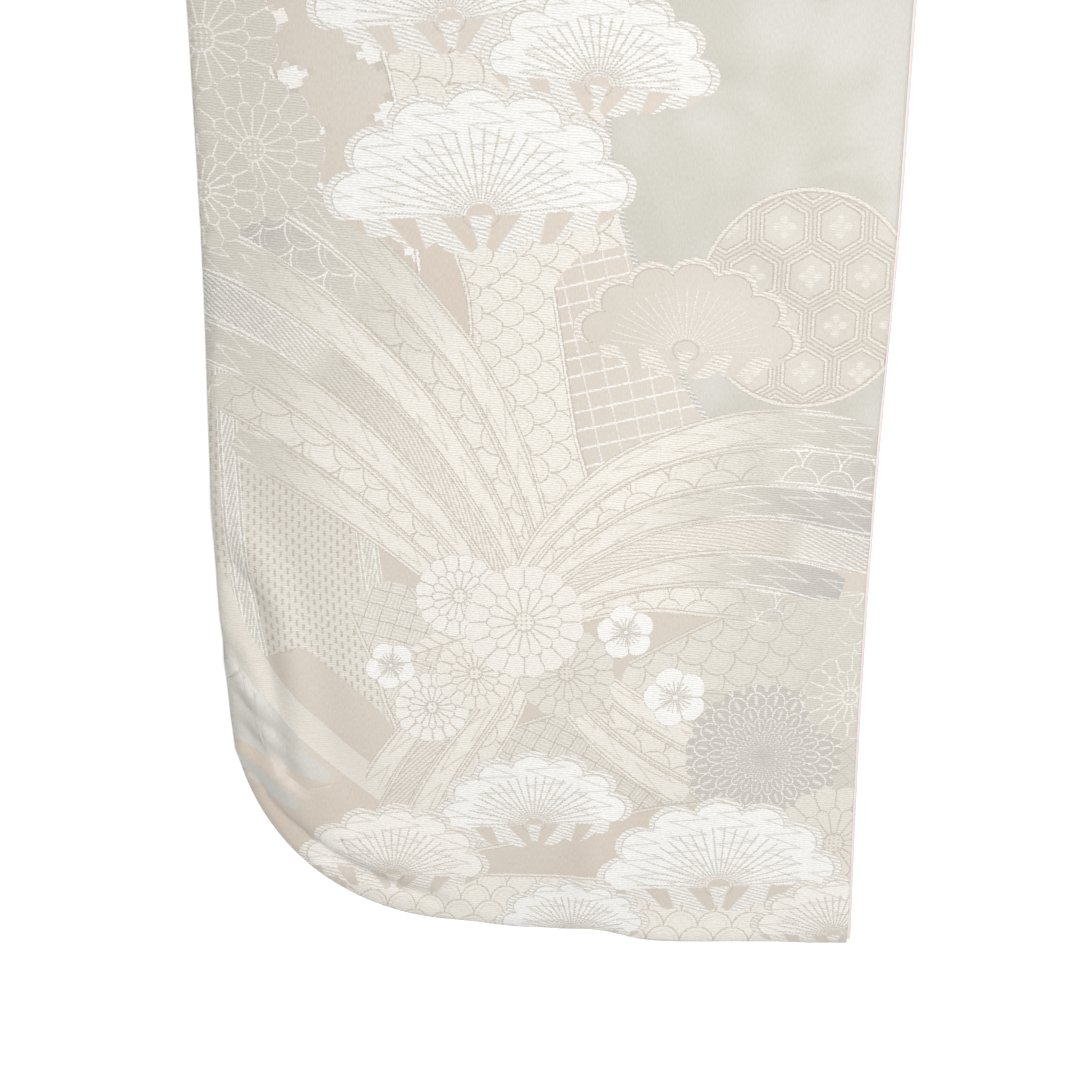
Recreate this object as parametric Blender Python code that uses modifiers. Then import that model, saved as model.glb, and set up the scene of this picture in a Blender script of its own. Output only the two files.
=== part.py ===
"""Uchikake, the long padded over-robe of a Japanese bride, in ivory brocade.

It lies flat with its back up and its sleeves raised a little. Metres, +Z up, +Y towards the
collar, and the wearer's left is at -X. The origin is on the floor under the middle of the robe.
Every piece is an open sheet laid out from the garment's measures and then given its wall.
"""

import math
from collections import namedtuple

import bmesh
import bpy
from mathutils import Vector

# Cloth: the wall is brocade and lining together, and touching pieces stay a hair apart.
WALL = 0.0020
LINING_WALL = 0.0010
COLLAR_WALL = 0.0030
GAP = 0.0003
LAYER = WALL + GAP

# Body, measured from the shoulder fold down and from the centre back out.
BODY_LENGTH = 1.840
SHOULDER_HALF = 0.325
BACK_HALF = 0.298
VENT_LENGTH = 0.130
NECK_HALF = 0.090
NECK_DEPTH = 0.025
POINT_DROP = 0.235
PANEL_SEAM = 0.055
FREE_EDGE = 0.095
COLLAR_DEPTH = 0.057
COLLAR_END = 0.850

# Sleeve, measured down from its top fold and out from its open inner edge.
SLEEVE_WIDTH = 0.348
SLEEVE_LENGTH = 1.100
SEAM_LENGTH = 0.210
SLEEVE_TURN = math.radians(10.5)
CORNER_RADIUS = 0.130
BOTTOM_RISE = 0.016
RISE_START = 0.095
BULGE = 0.0045
BULGE_AT = 0.850
BULGE_SPREAD = 0.110
EDGE_BOW = 0.0035
BOW_START = 0.690
PUFF = 0.0020
PUFF_MARGIN = 0.050
LINING_SHOWS = 0.0022
LINING_WIDTH = 0.020

# Hem roll: one padded tube in three rows, under the back and under each front.
ROLL_RADIUS = 0.0100
ROLL_SIDES = 12
ROW_PITCH = 2 * ROLL_RADIUS + 0.003
HEM_REACH = 0.0075
HEM_REST = 0.0171
OVER_ONE_ROLL = 0.0226
OVER_TWO_LAYERS = 0.0252
OVER_FRONT_ROLL = 0.0215
OVER_ROLL_TURN = 0.0206

BACK_ROLL_DROP = BODY_LENGTH - ROLL_RADIUS
RIGHT_ROLL_DROP = BACK_ROLL_DROP - ROW_PITCH
LEFT_ROLL_DROP = RIGHT_ROLL_DROP - ROW_PITCH

# How far each cloth starts to climb before the left roll, and where it is up.
BACK_CLIMB = (0.115, 0.020)
RIGHT_CLIMB = (0.100, 0.012)
LEFT_CLIMB = (0.085, HEM_REACH)

# Where one front rests on the other, its cloth steps up over these widths.
STEP_CLEAR = 0.040
STEP_WIDTH = 0.026
COVER_CLEAR = 0.100
COVER_WIDTH = 0.050
STEP_FROM = (-0.022, -0.010)
COVER_FROM = (-0.033, -0.026)

# The sleeve's turn about the foot of its seam lifts its outer top corner above the shoulder.
SEAM_TOP_DROP = SEAM_LENGTH * (1 - math.cos(SLEEVE_TURN))
TOP_RISE = SLEEVE_WIDTH * math.sin(SLEEVE_TURN) - SEAM_TOP_DROP
FOLD_REACH = (LAYER + WALL) / 2
SHOULDER_Y = (BODY_LENGTH - TOP_RISE - FOLD_REACH) / 2

LEFT = -1
RIGHT = 1

TURN_ANGLES = [math.radians(angle) for angle in (0, 45, 90, 135, 180)]
NECK_ANGLES = [math.radians(angle) for angle in (0, 22.5, 45, 67.5, 90)]

Row = namedtuple("Row", "leaf at")

# Ridges of cloth: each runs from start by via to end, as (across, down) in metres.
Fold = namedtuple("Fold", "start via end width height")

LEFT_SLEEVE_FOLDS = [
    Fold((0.349, 0.835), (0.318, 0.900), (0.312, 1.000), 0.011, 0.0046),
    Fold((0.340, 0.925), (0.331, 0.965), (0.322, 1.012), 0.008, 0.0030),
    Fold((0.322, 1.002), (0.286, 1.046), (0.222, 1.070), 0.009, 0.0042),
    Fold((0.300, 0.860), (0.283, 0.930), (0.262, 1.020), 0.020, 0.0022),
    Fold((0.170, 1.096), (0.150, 1.060), (0.152, 1.000), 0.013, 0.0034),
    Fold((0.004, 0.760), (0.050, 0.700), (0.110, 0.690), 0.020, 0.0034),
    Fold((0.004, 0.850), (0.024, 0.842), (0.060, 0.812), 0.009, 0.0026),
    Fold((0.010, 0.245), (0.110, 0.330), (0.190, 0.520), 0.026, 0.0052),
    Fold((0.060, 0.030), (0.130, 0.150), (0.200, 0.340), 0.024, 0.0042),
    Fold((0.345, 0.030), (0.350, 0.110), (0.345, 0.215), 0.012, 0.0032),
]
RIGHT_SLEEVE_FOLDS = [
    Fold((0.349, 0.780), (0.312, 0.860), (0.300, 0.985), 0.013, 0.0044),
    Fold((0.336, 0.960), (0.300, 1.040), (0.232, 1.066), 0.009, 0.0038),
    Fold((0.120, 1.096), (0.104, 1.050), (0.112, 0.970), 0.014, 0.0034),
    Fold((0.004, 0.650), (0.060, 0.610), (0.140, 0.620), 0.020, 0.0034),
    Fold((0.010, 0.235), (0.090, 0.300), (0.150, 0.470), 0.024, 0.0050),
    Fold((0.080, 0.030), (0.150, 0.180), (0.190, 0.400), 0.026, 0.0040),
    Fold((0.230, 0.360), (0.250, 0.520), (0.225, 0.700), 0.026, 0.0030),
    Fold((0.345, 0.030), (0.350, 0.110), (0.345, 0.215), 0.012, 0.0032),
]
LEFT_BACK_FOLDS = [
    Fold((0.150, 0.000), (0.158, 0.140), (0.130, 0.330), 0.016, 0.0060),
    Fold((0.205, 0.000), (0.215, 0.160), (0.225, 0.380), 0.015, 0.0068),
    Fold((0.255, 0.000), (0.272, 0.110), (0.296, 0.215), 0.013, 0.0056),
    Fold((0.300, 0.240), (0.220, 0.300), (0.100, 0.400), 0.020, 0.0042),
    Fold((0.210, 0.520), (0.232, 0.820), (0.205, 1.180), 0.032, 0.0034),
    Fold((0.090, 0.760), (0.075, 1.080), (0.100, 1.420), 0.036, 0.0030),
    Fold((0.255, 1.260), (0.240, 1.450), (0.262, 1.640), 0.028, 0.0036),
]
RIGHT_BACK_FOLDS = [
    Fold((0.140, 0.000), (0.150, 0.120), (0.172, 0.290), 0.016, 0.0056),
    Fold((0.196, 0.000), (0.214, 0.130), (0.210, 0.340), 0.014, 0.0066),
    Fold((0.262, 0.000), (0.268, 0.120), (0.290, 0.205), 0.014, 0.0060),
    Fold((0.300, 0.225), (0.205, 0.310), (0.080, 0.370), 0.019, 0.0040),
    Fold((0.165, 0.480), (0.190, 0.760), (0.170, 1.060), 0.034, 0.0032),
    Fold((0.250, 0.900), (0.235, 1.160), (0.255, 1.420), 0.030, 0.0036),
    Fold((0.110, 1.200), (0.128, 1.400), (0.104, 1.620), 0.032, 0.0030),
]
FOLD_STEPS = 12

# Linear colours of the finishes.
BROCADE = (0.82, 0.80, 0.77)
SATIN_LINING = (0.80, 0.72, 0.70)
ROLL_SATIN = (0.84, 0.81, 0.77)


def smooth(low, high, value):
    """Rises from 0 at low to 1 at high with flat ends."""
    share = min(1.0, max(0.0, (value - low) / (high - low)))
    return share * share * (3 - 2 * share)


def mix(first, second, share):
    return first + (second - first) * share


def curve_point(fold, share):
    """A point on the fold's line, a quadratic curve through its three points."""
    start, via, end = (Vector(point) for point in (fold.start, fold.via, fold.end))
    control = 2 * via - (start + end) / 2
    return start * (1 - share) ** 2 + control * 2 * share * (1 - share) + end * share**2


def fold_height(fold, across, down):
    """How far one fold lifts the cloth here: a soft ridge that dies out at both ends."""
    here = Vector((across, down))
    nearest = min(
        ((curve_point(fold, step / FOLD_STEPS) - here).length, step / FOLD_STEPS)
        for step in range(FOLD_STEPS + 1)
    )
    distance, share = nearest
    taper = math.sin(math.pi * mix(0.12, 0.88, share))
    return fold.height * taper * math.exp(-((distance / fold.width) ** 2))


def folds_height(folds, across, down):
    return sum(fold_height(fold, across, down) for fold in folds)


def spaced(first, last, count):
    """Evenly spaced numbers, both ends included."""
    return [mix(first, last, step / (count - 1)) for step in range(count)]


# Body outlines


def side_edge(drop):
    """Half width at the sleeve seam, which slants with the sleeve, then at the side seam."""
    if drop <= SEAM_LENGTH:
        return SHOULDER_HALF - (SEAM_LENGTH - drop) * math.tan(SLEEVE_TURN)
    inset = (SHOULDER_HALF - BACK_HALF) * smooth(0, VENT_LENGTH, drop - SEAM_LENGTH)
    return SHOULDER_HALF - inset


def centre_edge(drop):
    """The back's inner edge: the centre seam, then round the neck."""
    if drop >= NECK_DEPTH:
        return GAP / 2
    return NECK_HALF * math.sqrt(1 - (drop / NECK_DEPTH) ** 2)


def collar_seam(drop):
    """The line from the neck point to the collar's end, across the centre line."""
    end = COLLAR_DEPTH - FREE_EDGE
    return mix(NECK_HALF, end, min(1.0, drop / COLLAR_END))


def front_edge(drop):
    return max(collar_seam(drop), PANEL_SEAM + GAP)


def overlap_edge(drop):
    """The overlap panel's free side: the collar seam, then its own straight edge."""
    if drop <= COLLAR_END + GAP:
        return collar_seam(drop)
    return -FREE_EDGE


def front_reach(drop):
    """How far a front's free edge lies past the centre line."""
    return COLLAR_DEPTH - collar_seam(drop)


# Heights of the cloth's middle above the floor


def hem_climb(climb, base, top, drop):
    start, end = (LEFT_ROLL_DROP - reach for reach in climb)
    return mix(base, top, smooth(start, end, drop))


def left_front_height(across, drop):
    del across
    return WALL / 2 + hem_climb(LEFT_CLIMB, 0.0, HEM_REST, drop)


def right_front_height(across, drop):
    """Lies on the floor, on the left front where they cross, and over the left roll."""
    edge = front_reach(drop)
    crossing = 1 - smooth(edge + STEP_CLEAR, edge + STEP_CLEAR + STEP_WIDTH, across)
    crossing *= smooth(*STEP_FROM, edge)
    base = LAYER * crossing
    height = hem_climb(RIGHT_CLIMB, base, OVER_ONE_ROLL, drop)
    down_to_roll = smooth(LEFT_ROLL_DROP, RIGHT_ROLL_DROP - HEM_REACH, drop)
    return WALL / 2 + mix(height, HEM_REST, down_to_roll)


def back_height(side, across, drop):
    """Lies on the fronts, higher where they cross, over both front rolls to its own."""
    edge = front_reach(drop)
    covered = 1 - smooth(edge + COVER_CLEAR, edge + COVER_CLEAR + COVER_WIDTH, across)
    covered *= smooth(*COVER_FROM, edge)
    base = LAYER * (1 + covered)
    height = hem_climb(BACK_CLIMB, base, OVER_TWO_LAYERS, drop)
    height = mix(height, OVER_FRONT_ROLL, smooth(LEFT_ROLL_DROP, RIGHT_ROLL_DROP, drop))
    end = BACK_ROLL_DROP - HEM_REACH
    at_side = smooth(BACK_HALF - 4 * ROW_PITCH, BACK_HALF - 2 * ROW_PITCH, across)
    rest = mix(HEM_REST, OVER_ROLL_TURN, at_side)
    height = mix(height, rest, smooth(RIGHT_ROLL_DROP, end, drop))
    folds = LEFT_BACK_FOLDS if side == LEFT else RIGHT_BACK_FOLDS
    clear_of_hem = 1 - smooth(LEFT_ROLL_DROP - BACK_CLIMB[0], LEFT_ROLL_DROP, drop)
    clear_of_seams = smooth(0, 0.03, across) * smooth(0, 0.03, side_edge(drop) - across)
    lift = folds_height(folds, across, drop) * clear_of_hem * clear_of_seams
    return WALL / 2 + height + lift


# Sleeve outline and heights


def bottom_edge(across):
    """The sleeve's length here: it rises a little outwards, then round the corner."""
    corner = SLEEVE_WIDTH - CORNER_RADIUS
    if across <= corner:
        return SLEEVE_LENGTH - BOTTOM_RISE * smooth(RISE_START, corner, across)
    reach = min(across - corner, CORNER_RADIUS)
    drop = math.sqrt(CORNER_RADIUS**2 - reach**2)
    return SLEEVE_LENGTH - BOTTOM_RISE - CORNER_RADIUS + drop


def sleeve_across(share, down):
    """Distance from the seam line: the inner edge bows in and the wrist side out."""
    along = min(1.0, max(0.0, (down - BOW_START) / (SLEEVE_LENGTH - BOW_START)))
    bow = EDGE_BOW * math.sin(math.pi * along)
    bulge = BULGE * math.exp(-(((down - BULGE_AT) / BULGE_SPREAD) ** 2))
    return mix(bow, share * SLEEVE_WIDTH + bulge * share, min(1.0, share * 3))


def sleeve_top_height(side, across, down):
    """The upper leaf: a little air in the middle, the lining's strip inside, and folds."""
    folds = LEFT_SLEEVE_FOLDS if side == LEFT else RIGHT_SLEEVE_FOLDS
    room = min(across, SLEEVE_WIDTH - across, bottom_edge(across) - down, down)
    air = PUFF * smooth(0, PUFF_MARGIN, room)
    strip = 1 - smooth(LINING_WIDTH, 2 * LINING_WIDTH, across)
    strip *= smooth(SEAM_LENGTH - LINING_WIDTH, SEAM_LENGTH, down)
    seam = 1 - smooth(SEAM_LENGTH, SEAM_LENGTH + 0.03, down)
    at_seam = 1 - seam * (1 - smooth(0, 0.04, across))
    at_top = smooth(0, 0.05, down)
    lift = folds_height(folds, across, down) * at_seam * at_top
    return WALL / 2 + LAYER + air + strip * (LINING_WALL + GAP) + lift


def body_place(side, across, drop, height):
    return Vector((side * across, SHOULDER_Y - drop, height))


def sleeve_place(side, across, down, height):
    """Sleeve measures to the robe's, turned about the foot of the sleeve seam."""
    out = across + GAP
    below = down - SEAM_LENGTH
    sine, cosine = math.sin(SLEEVE_TURN), math.cos(SLEEVE_TURN)
    body_across = SHOULDER_HALF + below * sine + out * cosine
    body_drop = SEAM_LENGTH + below * cosine - out * sine
    return body_place(side, body_across, body_drop, height)


# Making the pieces


def material(name, colour, roughness):
    finish = bpy.data.materials.new(name)
    finish.use_nodes = True
    shader = finish.node_tree.nodes["Principled BSDF"]
    shader.inputs["Base Color"].default_value = (*colour, 1.0)
    shader.inputs["Roughness"].default_value = roughness
    shader.inputs["Metallic"].default_value = 0.0
    return finish


def add_object(name, mesh, finish):
    mesh.materials.append(finish)
    mesh.shade_smooth()
    mesh.set_sharp_from_angle(angle=math.radians(40))
    piece = bpy.data.objects.new(name, mesh)
    robe.objects.link(piece)
    return piece


def sheet(name, columns, rows, place, finish, wall=WALL):
    """A grid whose crossings go to place(column, row), given its wall on both sides."""
    grid = bmesh.new()
    across, along = len(columns) - 1, len(rows) - 1
    bmesh.ops.create_grid(grid, x_segments=across, y_segments=along, size=0.5)
    for crossing in grid.verts:
        column = columns[round((crossing.co.x + 0.5) * across)]
        row = rows[round((crossing.co.y + 0.5) * along)]
        crossing.co = place(column, row)
    mesh = bpy.data.meshes.new(name)
    grid.to_mesh(mesh)
    grid.free()
    piece = add_object(name, mesh, finish)
    thicken = piece.modifiers.new("Wall", "SOLIDIFY")
    thicken.thickness = wall
    thicken.offset = 0
    return piece


def over_the_fold(place, across, back, front, angle):
    """Turns the cloth from the back's height to the front's, as a half circle."""
    middle, radius = (back + front) / 2, (back - front) / 2
    return place(across, -radius * math.sin(angle), middle + radius * math.cos(angle))


def add_body(side, name, front_height):
    """Back and front of one side, cut in one length over the shoulder."""

    def place(share, row):
        if row.leaf == "back":
            across = mix(centre_edge(row.at), side_edge(row.at), share)
            return body_place(side, across, row.at, back_height(side, across, row.at))
        if row.leaf == "front":
            across = mix(front_edge(row.at), side_edge(row.at), share)
            height = front_height(side * across * RIGHT, row.at)
            return body_place(side, across, row.at, height)
        across = mix(NECK_HALF, side_edge(0), share)

        def at_fold(width, drop, height):
            return body_place(side, width, drop, height)

        back = back_height(side, across, 0)
        return over_the_fold(at_fold, across, back, front_height(across, 0), row.at)

    hem = LEFT_ROLL_DROP if side == LEFT else RIGHT_ROLL_DROP
    back_end = BACK_ROLL_DROP - HEM_REACH
    climb = LEFT_ROLL_DROP - BACK_CLIMB[0]
    back_drops = spaced(back_end, RIGHT_ROLL_DROP, 3)
    back_drops += spaced(LEFT_ROLL_DROP, climb, 7)
    back_drops += spaced(climb, 0.42, 13)[1:]
    back_drops += spaced(0.42, 0.07, 11)[1:]
    back_drops += [0.045]
    back_drops += [NECK_DEPTH * math.cos(angle) for angle in NECK_ANGLES[:-1]]
    front_end = hem - HEM_REACH
    front_drops = [0.0, 0.10, SEAM_LENGTH, POINT_DROP]
    front_drops += spaced(POINT_DROP, COLLAR_END, 8)[1:] + [1.2, 1.5]
    front_drops += spaced(LEFT_ROLL_DROP - RIGHT_CLIMB[0], front_end, 8)
    rows = [Row("back", drop) for drop in back_drops]
    rows += [Row("turn", angle) for angle in TURN_ANGLES[:-1]]
    rows += [Row("front", drop) for drop in front_drops]
    return sheet(name, spaced(0, 1, 11), rows, place, brocade)


def add_overlap(side, name, front_height):
    """The tapering panel sewn down a front's centre edge."""

    def place(share, drop):
        outer = min(PANEL_SEAM, collar_seam(POINT_DROP) + 0.004)
        across = mix(overlap_edge(drop) + 0.0001, outer, share)
        height = front_height(side * across * RIGHT, drop)
        return body_place(side, across, drop, height)

    hem = LEFT_ROLL_DROP if side == LEFT else RIGHT_ROLL_DROP
    drops = spaced(POINT_DROP + 0.05, COLLAR_END, 6) + [COLLAR_END + GAP]
    drops += [COLLAR_END + 0.003, 1.2, 1.5]
    drops += spaced(LEFT_ROLL_DROP - RIGHT_CLIMB[0], hem - HEM_REACH, 8)
    return sheet(name, spaced(0, 1, 5), drops, place, brocade)


def add_front_collar(side, name, front_height):
    """The collar along one front, from its end up to the shoulder fold."""

    def place(share, drop):
        across = collar_seam(drop) - GAP - share * (COLLAR_DEPTH - GAP)
        height = front_height(side * across * RIGHT, drop)
        return body_place(side, across, drop, height)

    return sheet(name, spaced(0, 1, 4), spaced(0, COLLAR_END, 13), place, brocade)


def add_back_collar(name):
    """The folded collar above the back neck, its ends going over the shoulders."""
    shares = [-math.sin(angle) for angle in reversed(NECK_ANGLES)]
    shares += [math.sin(angle) for angle in NECK_ANGLES[1:]]
    end_reach = 0.086
    end_rise = 0.018
    middle_rise = COLLAR_DEPTH - NECK_DEPTH

    def place(share, up):
        arch = math.sqrt(max(0.0, 1 - share**2))
        neck = Vector((share * (NECK_HALF - 2 * GAP), (NECK_DEPTH - 2 * GAP) * arch))
        top_drop = -mix(end_rise, middle_rise, 1 - share**2)
        top = Vector((share * end_reach, top_drop))
        at = neck.lerp(top, up)
        droop = 0.0006 * (1 - math.cos(math.pi * up))
        height = LAYER + COLLAR_WALL / 2 + droop
        return body_place(RIGHT, at.x, at.y, height)

    return sheet(name, shares, spaced(0, 1, 5), place, brocade, COLLAR_WALL)


def add_sleeve(side, name):
    """One length of cloth folded at the top, its two leaves sewn at wrist and bottom."""
    corner_share = 1 - CORNER_RADIUS / SLEEVE_WIDTH
    corner_angles = [math.radians(angle) for angle in (22, 42, 60, 76, 90)]
    columns = spaced(0, corner_share, 8)
    columns += [mix(corner_share, 1, math.sin(angle)) for angle in corner_angles]

    def place(share, row):
        nominal = share * SLEEVE_WIDTH
        if row.leaf == "turn":
            across = sleeve_across(share, 0)

            def at_fold(width, down, height):
                return sleeve_place(side, width, down, height)

            back = sleeve_top_height(side, across, 0)
            return over_the_fold(at_fold, across, back, WALL / 2, row.at)
        down = row.at * bottom_edge(nominal)
        across = sleeve_across(share, down)
        height = WALL / 2
        if row.leaf == "back":
            height = sleeve_top_height(side, across, down)
        return sleeve_place(side, across, down, height)

    back_shares = spaced(1, 0.74, 16) + spaced(0.74, 0.04, 14)[1:] + [0.02]
    rows = [Row("back", share) for share in back_shares]
    rows += [Row("turn", angle) for angle in TURN_ANGLES]
    rows += [Row("front", share) for share in spaced(0.1, 1, 10)]
    return sheet(name, columns, rows, place, brocade)


def add_opening_lining(side, name):
    """The lining's edge, which shows along the sleeve's open inner side."""

    def place(share, down):
        bow = sleeve_across(0, down)
        across = mix(bow - LINING_SHOWS, bow + LINING_WIDTH - 0.004, share)
        return sleeve_place(side, across, down, LAYER + LINING_WALL / 2)

    downs = spaced(SEAM_LENGTH + LINING_WIDTH, SLEEVE_LENGTH - 0.002, 22)
    return sheet(name, spaced(0, 1, 3), downs, place, lining, LINING_WALL)


def roll_path():
    """The hem roll's line: left front, round the side, back, round the side, right front."""
    points = []

    def run(first, last, drop):
        points.extend((across, drop) for across in spaced(first, last, 9))

    def turn(side, first_drop, last_drop):
        radius = (last_drop - first_drop) / 2
        middle = (first_drop + last_drop) / 2
        reach = BACK_HALF - ROLL_RADIUS - abs(radius)
        for step in range(1, 6):
            angle = math.pi * step / 6
            out = reach + abs(radius) * math.sin(angle)
            points.append((side * out, middle - radius * math.cos(angle)))

    left_reach = BACK_HALF - ROLL_RADIUS - ROW_PITCH
    right_reach = BACK_HALF - ROLL_RADIUS - ROW_PITCH / 2
    run(FREE_EDGE, -left_reach, LEFT_ROLL_DROP)
    turn(LEFT, LEFT_ROLL_DROP, BACK_ROLL_DROP)
    run(-left_reach, right_reach, BACK_ROLL_DROP)
    turn(RIGHT, BACK_ROLL_DROP, RIGHT_ROLL_DROP)
    run(right_reach, -FREE_EDGE, RIGHT_ROLL_DROP)
    return points


def add_hem_roll(name):
    """The wadded roll of lining that runs round the whole hem."""
    outline = bpy.data.curves.new(name, "CURVE")
    outline.dimensions = "3D"
    outline.bevel_depth = ROLL_RADIUS
    outline.bevel_resolution = ROLL_SIDES // 2 - 2
    outline.use_fill_caps = True
    points = roll_path()
    spline = outline.splines.new("POLY")
    spline.points.add(len(points) - 1)
    for point, (across, drop) in zip(spline.points, points):
        point.co = (*body_place(RIGHT, across, drop, ROLL_RADIUS), 1.0)
    outline.materials.append(roll_satin)
    piece = bpy.data.objects.new(name, outline)
    robe.objects.link(piece)
    return piece


for old in list(bpy.data.objects):
    bpy.data.objects.remove(old, do_unlink=True)

robe = bpy.data.collections.new("uchikake")
bpy.context.scene.collection.children.link(robe)
brocade = material("brocade", BROCADE, 0.45)
lining = material("lining", SATIN_LINING, 0.40)
roll_satin = material("roll_satin", ROLL_SATIN, 0.40)

add_body(LEFT, "body_left", left_front_height)
add_body(RIGHT, "body_right", right_front_height)
add_overlap(LEFT, "overlap_left", left_front_height)
add_overlap(RIGHT, "overlap_right", right_front_height)
add_front_collar(LEFT, "collar_left", left_front_height)
add_front_collar(RIGHT, "collar_right", right_front_height)
add_back_collar("collar_back")
add_sleeve(LEFT, "sleeve_left")
add_sleeve(RIGHT, "sleeve_right")
add_opening_lining(LEFT, "opening_lining_left")
add_opening_lining(RIGHT, "opening_lining_right")
add_hem_roll("hem_roll")
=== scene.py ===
# %% [markdown]
# # Uchikake: an ivory figured-satin bridal robe, laid flat
#
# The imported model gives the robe's solids. This lesson lays fine cloth over them: each panel is
# one thin sheet on its solid's form, with softer creases, and the woven figure is inlaid in it.
# The robe lies with its back up, +Y towards the collar, and everything is in metres.

# %% Load the frame
import math
from collections import namedtuple

import bmesh
import bpy
import numpy as np
from mathutils import Matrix, Vector
from mathutils.geometry import delaunay_2d_cdt


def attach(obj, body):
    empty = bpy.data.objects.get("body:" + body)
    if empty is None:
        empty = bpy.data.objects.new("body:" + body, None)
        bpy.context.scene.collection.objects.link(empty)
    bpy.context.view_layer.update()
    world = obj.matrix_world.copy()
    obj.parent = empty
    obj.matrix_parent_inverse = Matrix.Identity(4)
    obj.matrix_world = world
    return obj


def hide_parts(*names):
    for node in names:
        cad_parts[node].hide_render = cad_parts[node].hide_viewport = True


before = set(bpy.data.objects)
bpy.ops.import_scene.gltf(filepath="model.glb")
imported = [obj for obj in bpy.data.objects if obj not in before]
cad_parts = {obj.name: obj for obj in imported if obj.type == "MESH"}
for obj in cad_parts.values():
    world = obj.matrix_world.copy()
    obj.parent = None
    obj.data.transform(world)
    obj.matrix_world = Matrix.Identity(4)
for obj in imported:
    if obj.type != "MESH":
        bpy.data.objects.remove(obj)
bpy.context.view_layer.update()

# %% [markdown]
# ## The robe's measures
#
# The cloth has to lie where its solids lie, so the same measures and the same height formulas
# come back here. Lengths on the body go down from the shoulder fold and out from the centre
# back; on a sleeve they go down from its top fold and out from its open inner edge.

# %% Measures
WALL = 0.0020
GAP = 0.0003
LAYER = WALL + GAP
LINING_WALL = 0.0010

BODY_LENGTH = 1.840
SHOULDER_HALF = 0.325
BACK_HALF = 0.298
VENT_LENGTH = 0.130
NECK_HALF = 0.090
NECK_DEPTH = 0.025
POINT_DROP = 0.235
PANEL_SEAM = 0.055
FREE_EDGE = 0.095
COLLAR_DEPTH = 0.057
COLLAR_END = 0.850

SLEEVE_WIDTH = 0.348
SLEEVE_LENGTH = 1.100
SEAM_LENGTH = 0.210
SLEEVE_TURN = math.radians(10.5)
CORNER_RADIUS = 0.130
BOTTOM_RISES = ((0.0098, 0.105, 0.160), (0.0048, 0.185, 0.232))
CORNER_POWER = 2.07
BULGE, BULGE_AT, BULGE_SPREAD = 0.0045, 0.850, 0.110
EDGE_BOW, BOW_START = 0.0035, 0.690
PUFF, PUFF_MARGIN = 0.0020, 0.050
LINING_SHOWS, LINING_WIDTH = 0.0022, 0.020

ROLL_RADIUS = 0.0100
ROW_PITCH = 2 * ROLL_RADIUS + 0.003
HEM_REACH, HEM_REST = 0.0075, 0.0171
OVER_ONE_ROLL, OVER_TWO_LAYERS = 0.0226, 0.0252
OVER_FRONT_ROLL, OVER_ROLL_TURN = 0.0215, 0.0206
BACK_ROLL_DROP = BODY_LENGTH - ROLL_RADIUS
RIGHT_ROLL_DROP = BACK_ROLL_DROP - ROW_PITCH
LEFT_ROLL_DROP = RIGHT_ROLL_DROP - ROW_PITCH
BACK_CLIMB, RIGHT_CLIMB, LEFT_CLIMB = (0.115, 0.020), (0.100, 0.012), (0.085, HEM_REACH)
STEP_CLEAR, STEP_WIDTH = 0.040, 0.026
COVER_CLEAR, COVER_WIDTH = 0.100, 0.050
STEP_FROM, COVER_FROM = (-0.022, -0.010), (-0.033, -0.026)

SEAM_TOP_DROP = SEAM_LENGTH * (1 - math.cos(SLEEVE_TURN))
TOP_RISE = SLEEVE_WIDTH * math.sin(SLEEVE_TURN) - SEAM_TOP_DROP
SHOULDER_Y = (BODY_LENGTH - TOP_RISE - (LAYER + WALL) / 2) / 2
LEFT, RIGHT = -1, 1
print("the shoulder fold lies at y", round(SHOULDER_Y, 4))

# %% [markdown]
# ### From measures to places
#
# A drafter measures along the body or along the sleeve, but a mesh needs x, y and z. Two small
# functions turn one into the other. The sleeve's also turns it about the foot of its seam, since
# the robe lies with its sleeves splayed.

# %% Places
def smooth(low, high, value):
    """Rises from 0 at low to 1 at high with flat ends; works on whole arrays."""
    share = np.clip((value - low) / (high - low), 0.0, 1.0)
    return share * share * (3 - 2 * share)


def mix(first, second, share):
    return first + (second - first) * share


def mm(values):
    """Metres, from a table's millimetres."""
    return np.array(values) / 1000


def pairs(across, down):
    """Two rows of numbers as points; a single number is kept for all of them."""
    return np.stack(np.broadcast_arrays(across, down), axis=-1)


def body_place(side, across, drop, height):
    """Body measures to the robe's own x, y, z."""
    return np.stack([side * across, SHOULDER_Y - drop, height + 0 * across], axis=-1)


def sleeve_place(side, across, down, height):
    """Sleeve measures to the robe's, turned about the foot of the sleeve seam."""
    out, below = across + GAP, down - SEAM_LENGTH
    sine, cosine = math.sin(SLEEVE_TURN), math.cos(SLEEVE_TURN)
    body_across = SHOULDER_HALF + below * sine + out * cosine
    body_drop = SEAM_LENGTH + below * cosine - out * sine
    return body_place(side, body_across, body_drop, height)


corner = sleeve_place(LEFT, np.float64(SLEEVE_WIDTH), SLEEVE_LENGTH, 0)
print("the sleeve's corner", corner.round(3))

# %% [markdown]
# ## Camera
#
# The view looks almost straight down on the lower part of the wearer's left sleeve. The lens
# is 50 mm on a 36 mm square, 0.8 m away, and it leans 17.4 degrees so that the sleeve's bottom
# is a little further off. Its axes come from the sleeve's own, so that the sleeve stands upright.

# %% Camera
VIEW_DISTANCE = 0.800
VIEW_LEAN = math.radians(17.4)
VIEW_ACROSS = 0.1785
VIEW_DOWN = SLEEVE_LENGTH - 0.246
VIEW_HEIGHT = 0.004
LENS_LENGTH, SENSOR_WIDTH = 50, 36

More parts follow.
